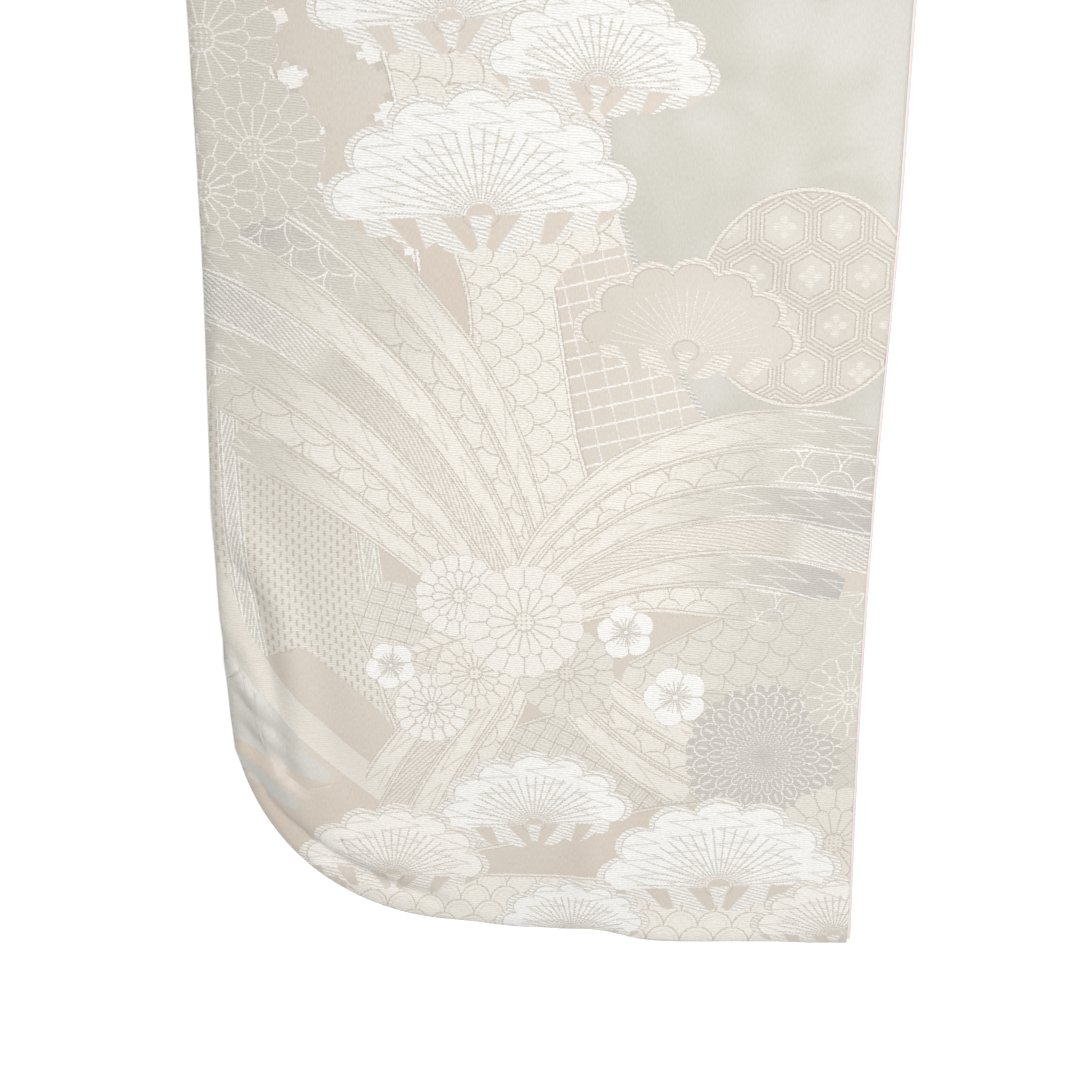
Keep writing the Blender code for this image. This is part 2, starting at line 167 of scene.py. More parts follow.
looked_at = Vector(sleeve_place(LEFT, np.float64(VIEW_ACROSS), np.float64(VIEW_DOWN), VIEW_HEIGHT))
image_right = Vector((math.cos(SLEEVE_TURN), -math.sin(SLEEVE_TURN), 0))
sleeve_up = Vector((math.sin(SLEEVE_TURN), math.cos(SLEEVE_TURN), 0))
upright = Vector((0, 0, 1))
towards_lens = upright * math.cos(VIEW_LEAN) + sleeve_up * math.sin(VIEW_LEAN)
image_up = towards_lens.cross(image_right)


def into_scene(name, data):
    made = bpy.data.objects.new(name, data)
    bpy.context.scene.collection.objects.link(made)
    return made


lens = bpy.data.cameras.new("view")
lens.lens = LENS_LENGTH
lens.sensor_width = SENSOR_WIDTH
camera = into_scene("view", lens)
turned = Matrix((image_right, image_up, towards_lens)).transposed().to_4x4()
camera.matrix_world = Matrix.Translation(looked_at + towards_lens * VIEW_DISTANCE) @ turned
bpy.context.scene.camera = camera
print("the camera stands", round(camera.location.z, 3), "m above the floor")

# %% [markdown]
# ## Floor and light
#
# White silk only reads as silk when the light rakes across it a little: a fold then has a bright
# and a dark side. One broad lamp far above fills the shadows, and a smaller one to the right is
# the key. The floor is white and glows faintly, as a light table under cloth does, so that it
# stays clean white. A sun lamp would be simpler, but its shadows are too hard for a studio.

# %% Floor
FLOOR_HALF = 6.0
FLOOR_DROP = 0.0004
FLOOR_COLOUR, FLOOR_ROUGHNESS, FLOOR_GLOW = (1.0, 1.0, 1.0), 0.9, 0.14


def new_finish(name):
    """A material with nodes, and its shader."""
    finish = bpy.data.materials.new(name)
    finish.use_nodes = True
    return finish, finish.node_tree.nodes["Principled BSDF"]


floor_finish, shader = new_finish("floor")
shader.inputs["Base Color"].default_value = (*FLOOR_COLOUR, 1)
shader.inputs["Roughness"].default_value = FLOOR_ROUGHNESS
shader.inputs["Emission Color"].default_value = (*FLOOR_COLOUR, 1)
shader.inputs["Emission Strength"].default_value = FLOOR_GLOW
floor_mesh = bpy.data.meshes.new("floor")
floor_form = bmesh.new()
bmesh.ops.create_grid(floor_form, x_segments=1, y_segments=1, size=FLOOR_HALF)
bmesh.ops.translate(floor_form, verts=floor_form.verts, vec=(0, 0, -FLOOR_DROP))
floor_form.to_mesh(floor_mesh)
floor_form.free()
floor_mesh.materials.append(floor_finish)
floor = into_scene("floor", floor_mesh)
print("the floor is", 2 * FLOOR_HALF, "m wide")

# %% Lights
SKY_COLOUR, SKY_POWER = (1.0, 0.995, 0.985, 1), 0.37
sky = bpy.data.worlds.new("studio")
sky.use_nodes = True
sky.node_tree.nodes["Background"].inputs["Color"].default_value = SKY_COLOUR
sky.node_tree.nodes["Background"].inputs["Strength"].default_value = SKY_POWER
bpy.context.scene.world = sky


def soft_light(name, over, size, energy):
    """A square lamp above the robe that faces the middle of the view."""
    lamp = bpy.data.lights.new(name, "AREA")
    lamp.shape = "SQUARE"
    lamp.size = size
    lamp.energy = energy
    placed = into_scene(name, lamp)
    placed.location = looked_at + over
    placed.rotation_euler = (-over).to_track_quat("-Z", "Y").to_euler()


KEY_OVER, KEY_SIZE, KEY_POWER = (0.30, 0.13, 1.10), 0.50, 7.2
key_place = image_right * KEY_OVER[0] + sleeve_up * KEY_OVER[1] + upright * KEY_OVER[2]
soft_light("key", key_place, KEY_SIZE, KEY_POWER)
TOP_OVER, TOP_SIZE, TOP_POWER = (0.60, 0.10, 3.00), 2.40, 28
soft_light("top", Vector(TOP_OVER), TOP_SIZE, TOP_POWER)
bpy.context.scene.view_settings.view_transform = "Standard"
print("lamps, in watts", KEY_POWER, TOP_POWER)

# %% [markdown]
# ## How the cloth lies
#
# Folds in heavy brocade are broad, soft ridges. Each is a row in a table, in millimetres: a
# curve's start, a point on it and its end, as across and down, then a width and a height. A
# cloth simulation could make folds too, but it would not put them where the garment shows them.
# These first tables are the solids' own folds.

# %% Folds
LEFT_SLEEVE_FOLDS = [
    (349, 835, 318, 900, 312, 1000, 11, 4.6), (340, 925, 331, 965, 322, 1012, 8, 3),
    (322, 1002, 286, 1046, 222, 1070, 9, 4.2), (300, 860, 283, 930, 262, 1020, 20, 2.2),
    (170, 1096, 150, 1060, 152, 1000, 13, 3.4), (4, 760, 50, 700, 110, 690, 20, 3.4),
    (4, 850, 24, 842, 60, 812, 9, 2.6), (10, 245, 110, 330, 190, 520, 26, 5.2),
    (60, 30, 130, 150, 200, 340, 24, 4.2), (345, 30, 350, 110, 345, 215, 12, 3.2),
]
RIGHT_SLEEVE_FOLDS = [
    (349, 780, 312, 860, 300, 985, 13, 4.4), (336, 960, 300, 1040, 232, 1066, 9, 3.8),
    (120, 1096, 104, 1050, 112, 970, 14, 3.4), (4, 650, 60, 610, 140, 620, 20, 3.4),
    (10, 235, 90, 300, 150, 470, 24, 5), (80, 30, 150, 180, 190, 400, 26, 4),
    (230, 360, 250, 520, 225, 700, 26, 3), (345, 30, 350, 110, 345, 215, 12, 3.2),
]
LEFT_BACK_FOLDS = [
    (150, 0, 158, 140, 130, 330, 16, 6), (205, 0, 215, 160, 225, 380, 15, 6.8),
    (255, 0, 272, 110, 296, 215, 13, 5.6), (300, 240, 220, 300, 100, 400, 20, 4.2),
    (210, 520, 232, 820, 205, 1180, 32, 3.4), (90, 760, 75, 1080, 100, 1420, 36, 3),
    (255, 1260, 240, 1450, 262, 1640, 28, 3.6),
]
RIGHT_BACK_FOLDS = [
    (140, 0, 150, 120, 172, 290, 16, 5.6), (196, 0, 214, 130, 210, 340, 14, 6.6),
    (262, 0, 268, 120, 290, 205, 14, 6), (300, 225, 205, 310, 80, 370, 19, 4),
    (165, 480, 190, 760, 170, 1060, 34, 3.2), (250, 900, 235, 1160, 255, 1420, 30, 3.6),
    (110, 1200, 128, 1400, 104, 1620, 32, 3),
]
print("broad folds on the left", len(LEFT_SLEEVE_FOLDS + LEFT_BACK_FOLDS))

# %% [markdown]
# ### Finer creases
#
# A robe that has been hung and folded keeps small creases where it was handled: short ones by
# the open edges, and a bundle at the sleeve's rounded corner, where the lining pulls the cloth
# in behind the seam. They are too fine for the solids. A negative height is a trough.

# %% Creases
LEFT_SLEEVE_CREASES = [
    (348, 870, 330, 905, 322, 960, 6, -1.6), (330, 955, 318, 985, 300, 1020, 6, -1.8),
    (60, 640, 85, 625, 120, 630, 10, 1.2), (4, 668, 26, 660, 52, 668, 7, -1.2),
    (3, 815, 16, 812, 34, 802, 5, -1.1), (140, 1098, 128, 1084, 126, 1060, 6, -1.3),
    (205, 940, 190, 975, 190, 1020, 14, 1), (240, 720, 215, 760, 205, 820, 18, -0.9),
    (345, 990, 302, 1038, 236, 1070, 5, -6.4), (316, 996, 284, 1032, 232, 1054, 7.5, 2.6),
    (350, 880, 334, 950, 300, 996, 9, 2.2), (326, 960, 288, 1016, 220, 1046, 17, 3.6),
    (354, 905, 343, 925, 330, 950, 4.2, -2.6), (353, 938, 340, 949, 318, 972, 4.4, -3),
    (352, 922, 342, 935, 328, 960, 4, 1.8), (351, 958, 340, 966, 318, 984, 4.2, -2.6),
    (350, 974, 336, 984, 310, 1004, 4.6, 2.4), (352, 868, 340, 876, 324, 900, 5, -2.4),
]
RIGHT_SLEEVE_CREASES = [
    (346, 860, 325, 900, 318, 950, 6, -1.6), (4, 700, 30, 690, 60, 700, 8, -1.2),
    (150, 1098, 140, 1080, 142, 1050, 6, -1.3), (120, 760, 150, 800, 150, 870, 16, 1.2),
]
BACK_CREASES = [
    (180, 0, 186, 110, 176, 240, 7, -2), (232, 10, 245, 100, 262, 190, 7, -2.2),
    (290, 300, 235, 335, 170, 400, 10, -1.6), (140, 600, 150, 760, 140, 920, 16, -1),
    (180, 1250, 170, 1400, 182, 1560, 16, -1),
]
print("fine creases", len(LEFT_SLEEVE_CREASES + RIGHT_SLEEVE_CREASES + BACK_CREASES))

# %% [markdown]
# ### Lifting the cloth
#
# A fold's height falls off with the distance to its line like a bell, and towards its ends like
# an arch. So one function is needed, the distance from many points to a line. It only looks at
# the points near each stretch of the line, which keeps hundreds of figures quick later on.

# %% Fold heights
FOLD_STEPS = 12
FOLD_REACH = 3.2
FOLD_ENDS = (0.12, 0.88)
SEGMENTS_AT_ONCE = 16
FAR, TINY = 1e3, 1e-18


def segment_distances(points, line, reach=FAR):
    """Each point's distance to an open line, up to reach, and its share of the way along."""
    nearest = np.full(len(points), reach)
    share = np.zeros(len(points))
    for first in range(0, len(line) - 1, SEGMENTS_AT_ONCE):
        part_line = line[first : first + SEGMENTS_AT_ONCE + 1]
        low, high = part_line.min(axis=0) - reach, part_line.max(axis=0) + reach
        close = np.flatnonzero(((points > low) & (points < high)).all(axis=1))
        if len(close) == 0:
            continue
        x, y = points[close].T
        best, best_share = nearest[close], share[close]
        for step, (start, end) in enumerate(zip(part_line[:-1], part_line[1:])):
            run = end - start
            away_x, away_y = x - start[0], y - start[1]
            part = np.clip((away_x * run[0] + away_y * run[1]) / max(run @ run, TINY), 0, 1)
            gap = np.hypot(away_x - part * run[0], away_y - part * run[1])
            closer = gap < best
            best = np.where(closer, gap, best)
            best_share = np.where(closer, (first + step + part) / (len(line) - 1), best_share)
        nearest[close], share[close] = best, best_share
    return nearest, share


def fold_line(fold):
    start, via, end = mm(fold[:6]).reshape(3, 2)
    control = 2 * via - (start + end) / 2
    part = np.linspace(0, 1, FOLD_STEPS + 1)[:, None]
    return start * (1 - part) ** 2 + control * 2 * part * (1 - part) + end * part**2


def folds_height(folds, across, down):
    """How far the folds lift the cloth at each point."""
    points = pairs(across, down).reshape(-1, 2)
    lift = np.zeros(len(points))
    for fold in folds:
        width, height = mm(fold[6:])
        distance, share = segment_distances(points, fold_line(fold), FOLD_REACH * width)
        taper = np.sin(np.pi * mix(*FOLD_ENDS, share))
        lift += height * taper * np.exp(-((distance / width) ** 2))
    return lift


# %% [markdown]
# ### Outline and heights of the body
#
# The fronts lie on the floor, one over the other, and the back lies on them. So each height is
# a base that steps up where there is a layer below, and climbs onto the hem roll at its end. The
# steps are soft, because cloth bridges an edge and doesn't bend round it sharply.

# %% Body outlines and heights
SEAM_FLAT = 0.030


def side_edge(drop):
    at_seam = SHOULDER_HALF - (SEAM_LENGTH - drop) * math.tan(SLEEVE_TURN)
    inset = (SHOULDER_HALF - BACK_HALF) * smooth(0, VENT_LENGTH, drop - SEAM_LENGTH)
    return np.where(drop <= SEAM_LENGTH, at_seam, SHOULDER_HALF - inset)


def collar_seam(drop):
    return mix(NECK_HALF, COLLAR_DEPTH - FREE_EDGE, np.minimum(1.0, drop / COLLAR_END))


def front_edge(drop):
    return np.maximum(collar_seam(drop), PANEL_SEAM + GAP)


def overlap_edge(drop):
    return np.where(drop <= COLLAR_END + GAP, collar_seam(drop), -FREE_EDGE)


def front_reach(drop):
    return COLLAR_DEPTH - collar_seam(drop)


def hem_climb(climb, base, top, drop):
    start, end = (LEFT_ROLL_DROP - reach for reach in climb)
    return mix(base, top, smooth(start, end, drop))


def left_front_height(across, drop):
    return WALL / 2 + hem_climb(LEFT_CLIMB, 0.0, HEM_REST, drop) + 0 * across


def right_front_height(across, drop):
    edge = front_reach(drop)
    crossing = 1 - smooth(edge + STEP_CLEAR, edge + STEP_CLEAR + STEP_WIDTH, across)
    crossing = crossing * smooth(*STEP_FROM, edge)
    height = hem_climb(RIGHT_CLIMB, LAYER * crossing, OVER_ONE_ROLL, drop)
    down_to_roll = smooth(LEFT_ROLL_DROP, RIGHT_ROLL_DROP - HEM_REACH, drop)
    return WALL / 2 + mix(height, HEM_REST, down_to_roll)


def back_height(side, across, drop):
    edge = front_reach(drop)
    covered = 1 - smooth(edge + COVER_CLEAR, edge + COVER_CLEAR + COVER_WIDTH, across)
    covered = covered * smooth(*COVER_FROM, edge)
    height = hem_climb(BACK_CLIMB, LAYER * (1 + covered), OVER_TWO_LAYERS, drop)
    height = mix(height, OVER_FRONT_ROLL, smooth(LEFT_ROLL_DROP, RIGHT_ROLL_DROP, drop))
    at_side = smooth(BACK_HALF - 4 * ROW_PITCH, BACK_HALF - 2 * ROW_PITCH, across)
    rest = mix(HEM_REST, OVER_ROLL_TURN, at_side)
    height = mix(height, rest, smooth(RIGHT_ROLL_DROP, BACK_ROLL_DROP - HEM_REACH, drop))
    folds = LEFT_BACK_FOLDS if side == LEFT else RIGHT_BACK_FOLDS
    clear_of_hem = 1 - smooth(LEFT_ROLL_DROP - BACK_CLIMB[0], LEFT_ROLL_DROP, drop)
    clear_of_seams = smooth(0, SEAM_FLAT, across) * smooth(0, SEAM_FLAT, side_edge(drop) - across)
    lift = folds_height(folds + BACK_CREASES, across, drop)
    return WALL / 2 + height + lift * clear_of_hem * clear_of_seams


print("the back at its hem", back_height(LEFT, 0.1, BACK_ROLL_DROP - HEM_REACH).round(4))

# %% [markdown]
# ### Outline and heights of the sleeve
#
# The sleeve's bottom rises in two small steps towards its rounded corner, the wrist side bulges a
# little and the open side bows in, as soft cloth does. The upper leaf holds some air, so it
# puffs up by 2 mm inside its seams. A height below its rest is cut off: cloth can't sink in.

# %% Sleeve outline and heights
SLEEVE_SEAM_FLAT, TOP_FLAT = 0.040, 0.050


def bottom_edge(across):
    """The sleeve's length here: a little shorter outwards, then round the corner."""
    rise = sum(step * smooth(start, end, across) for step, start, end in BOTTOM_RISES)
    reach = np.clip((across - SLEEVE_WIDTH) / CORNER_RADIUS + 1, 0, 1)
    left = (1 - reach**CORNER_POWER) ** (1 / CORNER_POWER)
    return SLEEVE_LENGTH - rise - CORNER_RADIUS * (1 - left)


def sleeve_across(share, down):
    """Distance from the seam line: the open edge bows in and the wrist side out."""
    along = np.clip((down - BOW_START) / (SLEEVE_LENGTH - BOW_START), 0, 1)
    bow = EDGE_BOW * np.sin(np.pi * along)
    bulge = BULGE * np.exp(-(((down - BULGE_AT) / BULGE_SPREAD) ** 2))
    return mix(bow, share * SLEEVE_WIDTH + bulge * share, np.minimum(1.0, share * 3))


def sleeve_top_height(side, across, down):
    """The upper leaf: air in the middle, the lining's strip under its open edge, and folds."""
    folds, creases = LEFT_SLEEVE_FOLDS, LEFT_SLEEVE_CREASES
    if side == RIGHT:
        folds, creases = RIGHT_SLEEVE_FOLDS, RIGHT_SLEEVE_CREASES
    sides = np.minimum(across, SLEEVE_WIDTH - across)
    room = np.minimum(sides, np.minimum(bottom_edge(across) - down, down))
    air = PUFF * smooth(0, PUFF_MARGIN, room)
    strip = 1 - smooth(LINING_WIDTH, 2 * LINING_WIDTH, across)
    strip = strip * smooth(SEAM_LENGTH - LINING_WIDTH, SEAM_LENGTH, down)
    seam = 1 - smooth(SEAM_LENGTH, SEAM_LENGTH + SEAM_FLAT, down)
    at_seam = 1 - seam * (1 - smooth(0, SLEEVE_SEAM_FLAT, across))
    lift = folds_height(folds + creases, across, down) * at_seam * smooth(0, TOP_FLAT, down)
    return WALL / 2 + LAYER + strip * (LINING_WALL + GAP) + np.maximum(air + lift, 0)


print("the sleeve at its middle", sleeve_top_height(LEFT, 0.17, 0.8).round(4))

# %% [markdown]
# ## The woven figures
#
# Figured satin shows its picture as matt white thread on a glossy ground. Every outline here is
# an old standard motif drawn from a formula: the umbrella pine with its scalloped rim, the
# sixteen-petalled chrysanthemum, the plum, the open fan, leaves, tied ribbons and roundels.
# An outline could be left to the material, but then its border is only as sharp as a node can
# make it. So each outline is cut into the cloth's own mesh, and the material only fills it.

# %% The pine's outline, one unit in radius, as right and up
PINE_LOBES, PINE_DEPTH, PINE_SQUASH = 7, 0.13, 0.80
PINE_FOOT, PINE_LOOPS, LOOP_DEPTH, LOOP_ROUNDNESS = 0.24, 6, 0.3, 0.7
LOBE_ROUNDNESS, LOBE_STEPS, LOOP_STEPS = 0.6, 9, 5


def lobes(turn, depth):
    """A scalloped reach: lobes that meet in notches where turn is a whole number."""
    return 1 - depth * (1 - np.abs(np.sin(np.pi * turn)) ** LOBE_ROUNDNESS)


def pine_outline():
    """A dome of scallops over a foot of small loops."""
    angle = np.linspace(0, np.pi, PINE_LOBES * LOBE_STEPS + 1)
    reach = lobes(angle * PINE_LOBES / np.pi, PINE_DEPTH)
    dome = pairs(reach * np.cos(angle), PINE_SQUASH * reach * np.sin(angle))
    part = np.linspace(0, 1, PINE_LOOPS * LOOP_STEPS + 1)[1:-1]
    sag = np.sin(np.pi * part) ** LOOP_ROUNDNESS * lobes(part * PINE_LOOPS, LOOP_DEPTH)
    foot = pairs(mix(-1, 1, part) * dome[0, 0], -PINE_FOOT * sag)
    return np.concatenate([dome, foot])


print("the pine's outline has", len(pine_outline()), "points")

# %% [markdown]
# ### Flowers, fans and leaves
#
# The other motifs are simpler. A flower is a circle with a lobe for each petal, a roundel one
# without, a fan a sector with a pleated rim, and a leaf two arcs that meet in points.

# %% Outlines of the other motifs
PETALS, PETAL_DEPTH = 16, 0.10
DAHLIA_PETALS, DAHLIA_DEPTH = 20, 0.07
PLUM_PETALS, PLUM_DEPTH = 5, 0.26
FAN_SPREAD, FAN_FOLDS, FAN_PLEAT, FAN_HUB = math.radians(118), 14, 0.03, 0.36
FAN_RIVET = ((-0.03, 0.02), (-0.02, -0.03), (0.02, -0.03), (0.03, 0.02))
LEAF_WIDTH, LEAF_POINT, LEAF_BASE = 0.30, 2.2, 0.25


def flower_outline(petals, depth, steps):
    angle = np.arange(petals * steps) * 2 * np.pi / (petals * steps)
    reach = lobes(angle * petals / (2 * np.pi), depth)
    return pairs(reach * np.cos(angle), reach * np.sin(angle))


def fan_outline():
    """A sector with a pleated rim, its rivet at the middle."""
    angle = np.linspace((np.pi - FAN_SPREAD) / 2, (np.pi + FAN_SPREAD) / 2, 2 * FAN_FOLDS + 1)
    pleat = 1 - FAN_PLEAT * (np.arange(len(angle)) % 2)
    return np.concatenate([pairs(pleat * np.cos(angle), pleat * np.sin(angle)), FAN_RIVET])


def leaf_outline(steps=12):
    part = np.linspace(-1, 1, steps + 1)
    width = LEAF_WIDTH * (1 - np.abs(part) ** LEAF_POINT) * (1 - LEAF_BASE * part)
    return np.concatenate([pairs(part, width), pairs(part, -width)[-2:0:-1]])


MOTIF_OUTLINES = {
    "pine": pine_outline(),
    "mum": flower_outline(PETALS, PETAL_DEPTH, 6),
    "dahlia": flower_outline(DAHLIA_PETALS, DAHLIA_DEPTH, 5),
    "plum": flower_outline(PLUM_PETALS, PLUM_DEPTH, 9),
    "fan": fan_outline(),
    "leaf": leaf_outline(),
    "roundel": flower_outline(1, 0.0, 56),
}
print("outline points", {name: len(outline) for name, outline in MOTIF_OUTLINES.items()})

# %% [markdown]
# ### Placing a figure
#
# A figure is an outline on the cloth, the kind of weave that fills it, its own coordinates for
# that weave, a size in metres and a tone from 0, pure white thread, to 1, silver. A motif's
# coordinates are in its own radius. A strip's are metres along it and across it.

# %% Figures
Figure = namedtuple("Figure", "outline kind local size tone")


def motif(kind, at, size, turn=0, tone=0.0, weave=None):
    """A motif of that radius, its middle at a point of the cloth, turned by degrees."""
    sine, cosine = math.sin(math.radians(turn)), math.cos(math.radians(turn))
    to_cloth = np.array([[cosine, sine], [-sine, cosine]]) * size
    middle = np.array(at)

    def local(points):
        return (points - middle) @ to_cloth.T / size**2

    def everywhere(value):
        return lambda points: np.full(len(points), value)

    outline = MOTIF_OUTLINES[kind] @ to_cloth + middle
    return Figure(outline, weave or kind, local, everywhere(size), everywhere(tone))


print("a plum's outline starts at", motif("plum", (0, 0), 0.02).outline[0])

# %% [markdown]
# ### Bands
#
# Ribbons, mists and fences are bands: a smooth curve through a few points with a half width that
# changes along it. Catmull and Rom's curve goes through its points, so a band lies where its row
# says. A band's own coordinates run along it and across it, so its weave bends with it.

# %% Bands
STRIP_STEPS = 26
END_STEPS, END_HALF = 2.5, 0.5


def smooth_line(points, steps):
    """A curve through a few points, with rounded turns (Catmull and Rom's)."""
    knots = np.array(points, float)
    knots = np.concatenate([[2 * knots[0] - knots[1]], knots, [2 * knots[-1] - knots[-2]]])
    part = np.linspace(0, len(points) - 1, steps)
    start = np.minimum(part.astype(int), len(points) - 2)
    t = (part - start)[:, None]
    before, first, last, after = (knots[start + shift] for shift in range(4))
    straight = first + (last - before) * t / 2
    bend = (2 * before - 5 * first + 4 * last - after) * t**2 / 2
    return straight + bend + (3 * first - before - 3 * last + after) * t**3 / 2


def sideways(line):
    """One step to the left of a line as it runs, at each of its points."""
    run = np.gradient(line, axis=0)
    run /= np.maximum(np.hypot(*run.T), 1e-9)[:, None]
    return pairs(-run[:, 1], run[:, 0])


def evenly(values, share):
    """A value that share of the way through evenly spaced ones."""
    return np.interp(share, np.linspace(0, 1, len(values)), values)


def strip(weave, points, widths, tones):
    """A band along a curve. widths are its half widths, spaced evenly from start to end."""
    line = smooth_line(points, STRIP_STEPS)
    side = sideways(line)
    part = np.linspace(0, 1, STRIP_STEPS)
    half = evenly(widths, part)
    to_end = np.minimum(part, 1 - part) * STRIP_STEPS / END_STEPS
    end_round = np.sqrt(np.clip(1 - (1 - to_end) ** 2, 0, 1))
    half = half * np.where(to_end < 1, np.maximum(end_round, END_HALF), 1)
    outline = np.concatenate([line + side * half[:, None], (line - side * half[:, None])[::-1]])
    length = np.hypot(*np.diff(line, axis=0).T).sum()

    def local(points_on_cloth):
        distance, share = segment_distances(points_on_cloth, line)
        step = np.clip((share * (STRIP_STEPS - 1)).astype(int), 0, STRIP_STEPS - 2)
        across = points_on_cloth - line[step]
        which = np.sign(np.einsum("ij,ij->i", across, side[step]))
        return pairs(share * length, which * distance)

    def along(values):
        return lambda points: evenly(values, segment_distances(points, line)[1])

    return Figure(outline, "strip_" + weave, local, along(widths), along(tones))


print("points along a band", STRIP_STEPS)

# %% [markdown]
# ## Drawing a weave with nodes
#
# Each weave is a few sums on the cloth's coordinates: a zigzag is a triangle wave, a scale is a
# circle in a brick of cells. Placing the Math nodes by hand would hide that. An Ink stands
# for a number in the shader, and arithmetic on it adds the nodes, so a pattern reads as a sum.


# %% Ink: sums that become Math nodes
class Ink:
    """A number that varies over the cloth."""

    tree = None

    def __init__(self, socket):
        self.socket = socket

    def __add__(self, other):
        return worked("ADD", self, other)

    def __sub__(self, other):
        return worked("SUBTRACT", self, other)

    def __rsub__(self, other):
        return worked("SUBTRACT", other, self)

    def __mul__(self, other):
        return worked("MULTIPLY", self, other)

    def __truediv__(self, other):
        return worked("DIVIDE", self, other)

    def __rtruediv__(self, other):
        return worked("DIVIDE", other, self)

    def __pow__(self, other):
        return worked("POWER", self, other)

    def __abs__(self):
        return worked("ABSOLUTE", self)

    __radd__, __rmul__ = __add__, __mul__


def fresh(kind):
    return Ink.tree.nodes.new("ShaderNode" + kind)


def put(socket, term):
    """Feeds a socket with an Ink, a colour or a number."""
    if isinstance(term, Ink):
        Ink.tree.links.new(term.socket, socket)
    else:
        socket.default_value = (*term, 1) if isinstance(term, tuple) else term


def fed(node, terms):
    """A node with its first sockets fed, as its own Ink."""
    for socket, term in zip(node.inputs, terms):
        put(socket, term)
    return Ink(node.outputs[0])


def worked(operation, *terms):
    node = fresh("Math")
    node.operation = operation
    return fed(node, terms)


print("an Ink takes +, -, *, /, ** and abs, a Math node each")

# %% Sums by name
def fraction(value):
    return worked("FRACT", value)


def whole(value):
    return worked("FLOOR", value)


def most(first, *others):
    for other in others:
        first = worked("MAXIMUM", first, other)
    return first


def least(first, *others):
    for other in others:
        first = worked("MINIMUM", first, other)
    return first


def root(value):
    return worked("SQRT", value)


def length_of(first, second):
    return root(first * first + second * second)


def from_middle(value):
    """How far a repeat is from its middle, 0 to a half."""
    return abs(fraction(value) - 0.5)


def chosen(share, yes, no):
    return no + (yes - no) * share


def below(value, edge, soft):
    """1 where value is under the edge, 0 over it, with a soft step."""
    node = fresh("MapRange")
    node.interpolation_type = "SMOOTHSTEP"
    return fed(node, (value, edge - soft, edge + soft, 1.0, 0.0))


print("below draws every soft line: 1 under its edge, 0 over it")


# %% [markdown]
# ### Weaves that fill a shape
#
# These repeats are common ones: long zigzags, slanted hatching, staggered dashes, fish scales,
# tortoiseshell hexagons, a lattice, a plaited fence. Each takes metres along and across, and
# returns two masks: where matt thread covers the satin, and where a fine dark line runs.

# %% Lines and dashes
HAIR = 0.00072
SOFT = 0.00026
ROOT_THREE = math.sqrt(3)

ZIG_REACH, ZIG_PERIOD, ZIG_PITCH, ZIG_SHEAR = 0.0105, 0.0098, 0.0270, 0.16
ZIG_INK = 0.6
HATCH_PITCH, HATCH_SLANT, HATCH_LINE, HATCH_INK = 0.0021, 0.30, 0.21, 0.75
DASH_ACROSS, DASH_UP, DASH_LONG, DASH_THICK, DASH_SLANT = 0.0062, 0.0034, 0.58, 0.36, 0.12


def hairline(distance, width=HAIR):
    return below(distance, width / 2, SOFT)


def zigzag(x, y):
    y = y + x * ZIG_SHEAR
    swing = from_middle(y / ZIG_PERIOD) * 4 - 1
    column = (x + swing * ZIG_REACH) / ZIG_PITCH
    slope = 4 * ZIG_REACH / ZIG_PERIOD
    return 1.0, hairline(from_middle(column) * (ZIG_PITCH / math.hypot(1, slope))) * ZIG_INK


def hatch(x, y):
    stripe = from_middle((y + x * HATCH_SLANT) / HATCH_PITCH)
    return 1.0, below(stripe, HATCH_LINE, 0.10) * HATCH_INK


def dashes(x, y):
    row = (y + x * DASH_SLANT) / DASH_UP
    column = x / DASH_ACROSS + whole(row) * 0.5
    dash = below(from_middle(column), DASH_LONG / 2, 0.05)
    return 1.0, dash * below(from_middle(row), DASH_THICK / 2, 0.09)


print("a hairline is", HAIR * 1000, "mm wide")

# %% [markdown]
# ### Scales and tortoiseshell
#
# Fish scales are circles in a brick of cells: each row is shifted by half a cell, and only the
# upper half of its circle shows. Tortoiseshell needs two grids of cells, and each point takes the
# nearer middle, which makes every cell a hexagon.

# %% Scales and hexagons
SCALE_WIDTH, SCALE_HEIGHT, INNER_SCALE = 0.0185, 0.0105, 0.72
HEX_WIDTH, HEX_RINGS, HEX_BAND = 0.0285, (0.497, 0.425, 0.355), 0.39
HEX_GROUND, HEX_HEART, HEX_PETAL = 0.22, 0.45, 0.046


def scales(x, y):
    row = y / SCALE_HEIGHT
    across = (fraction(x / SCALE_WIDTH + whole(row) * 0.5) - 0.5) * 2
    reach = length_of(across, fraction(row))
    outer = hairline(abs(reach - 1) * SCALE_HEIGHT)
    inner = hairline(abs(reach - INNER_SCALE) * SCALE_HEIGHT, HAIR * 0.6) * 0.5
    return 1.0, most(outer, inner)


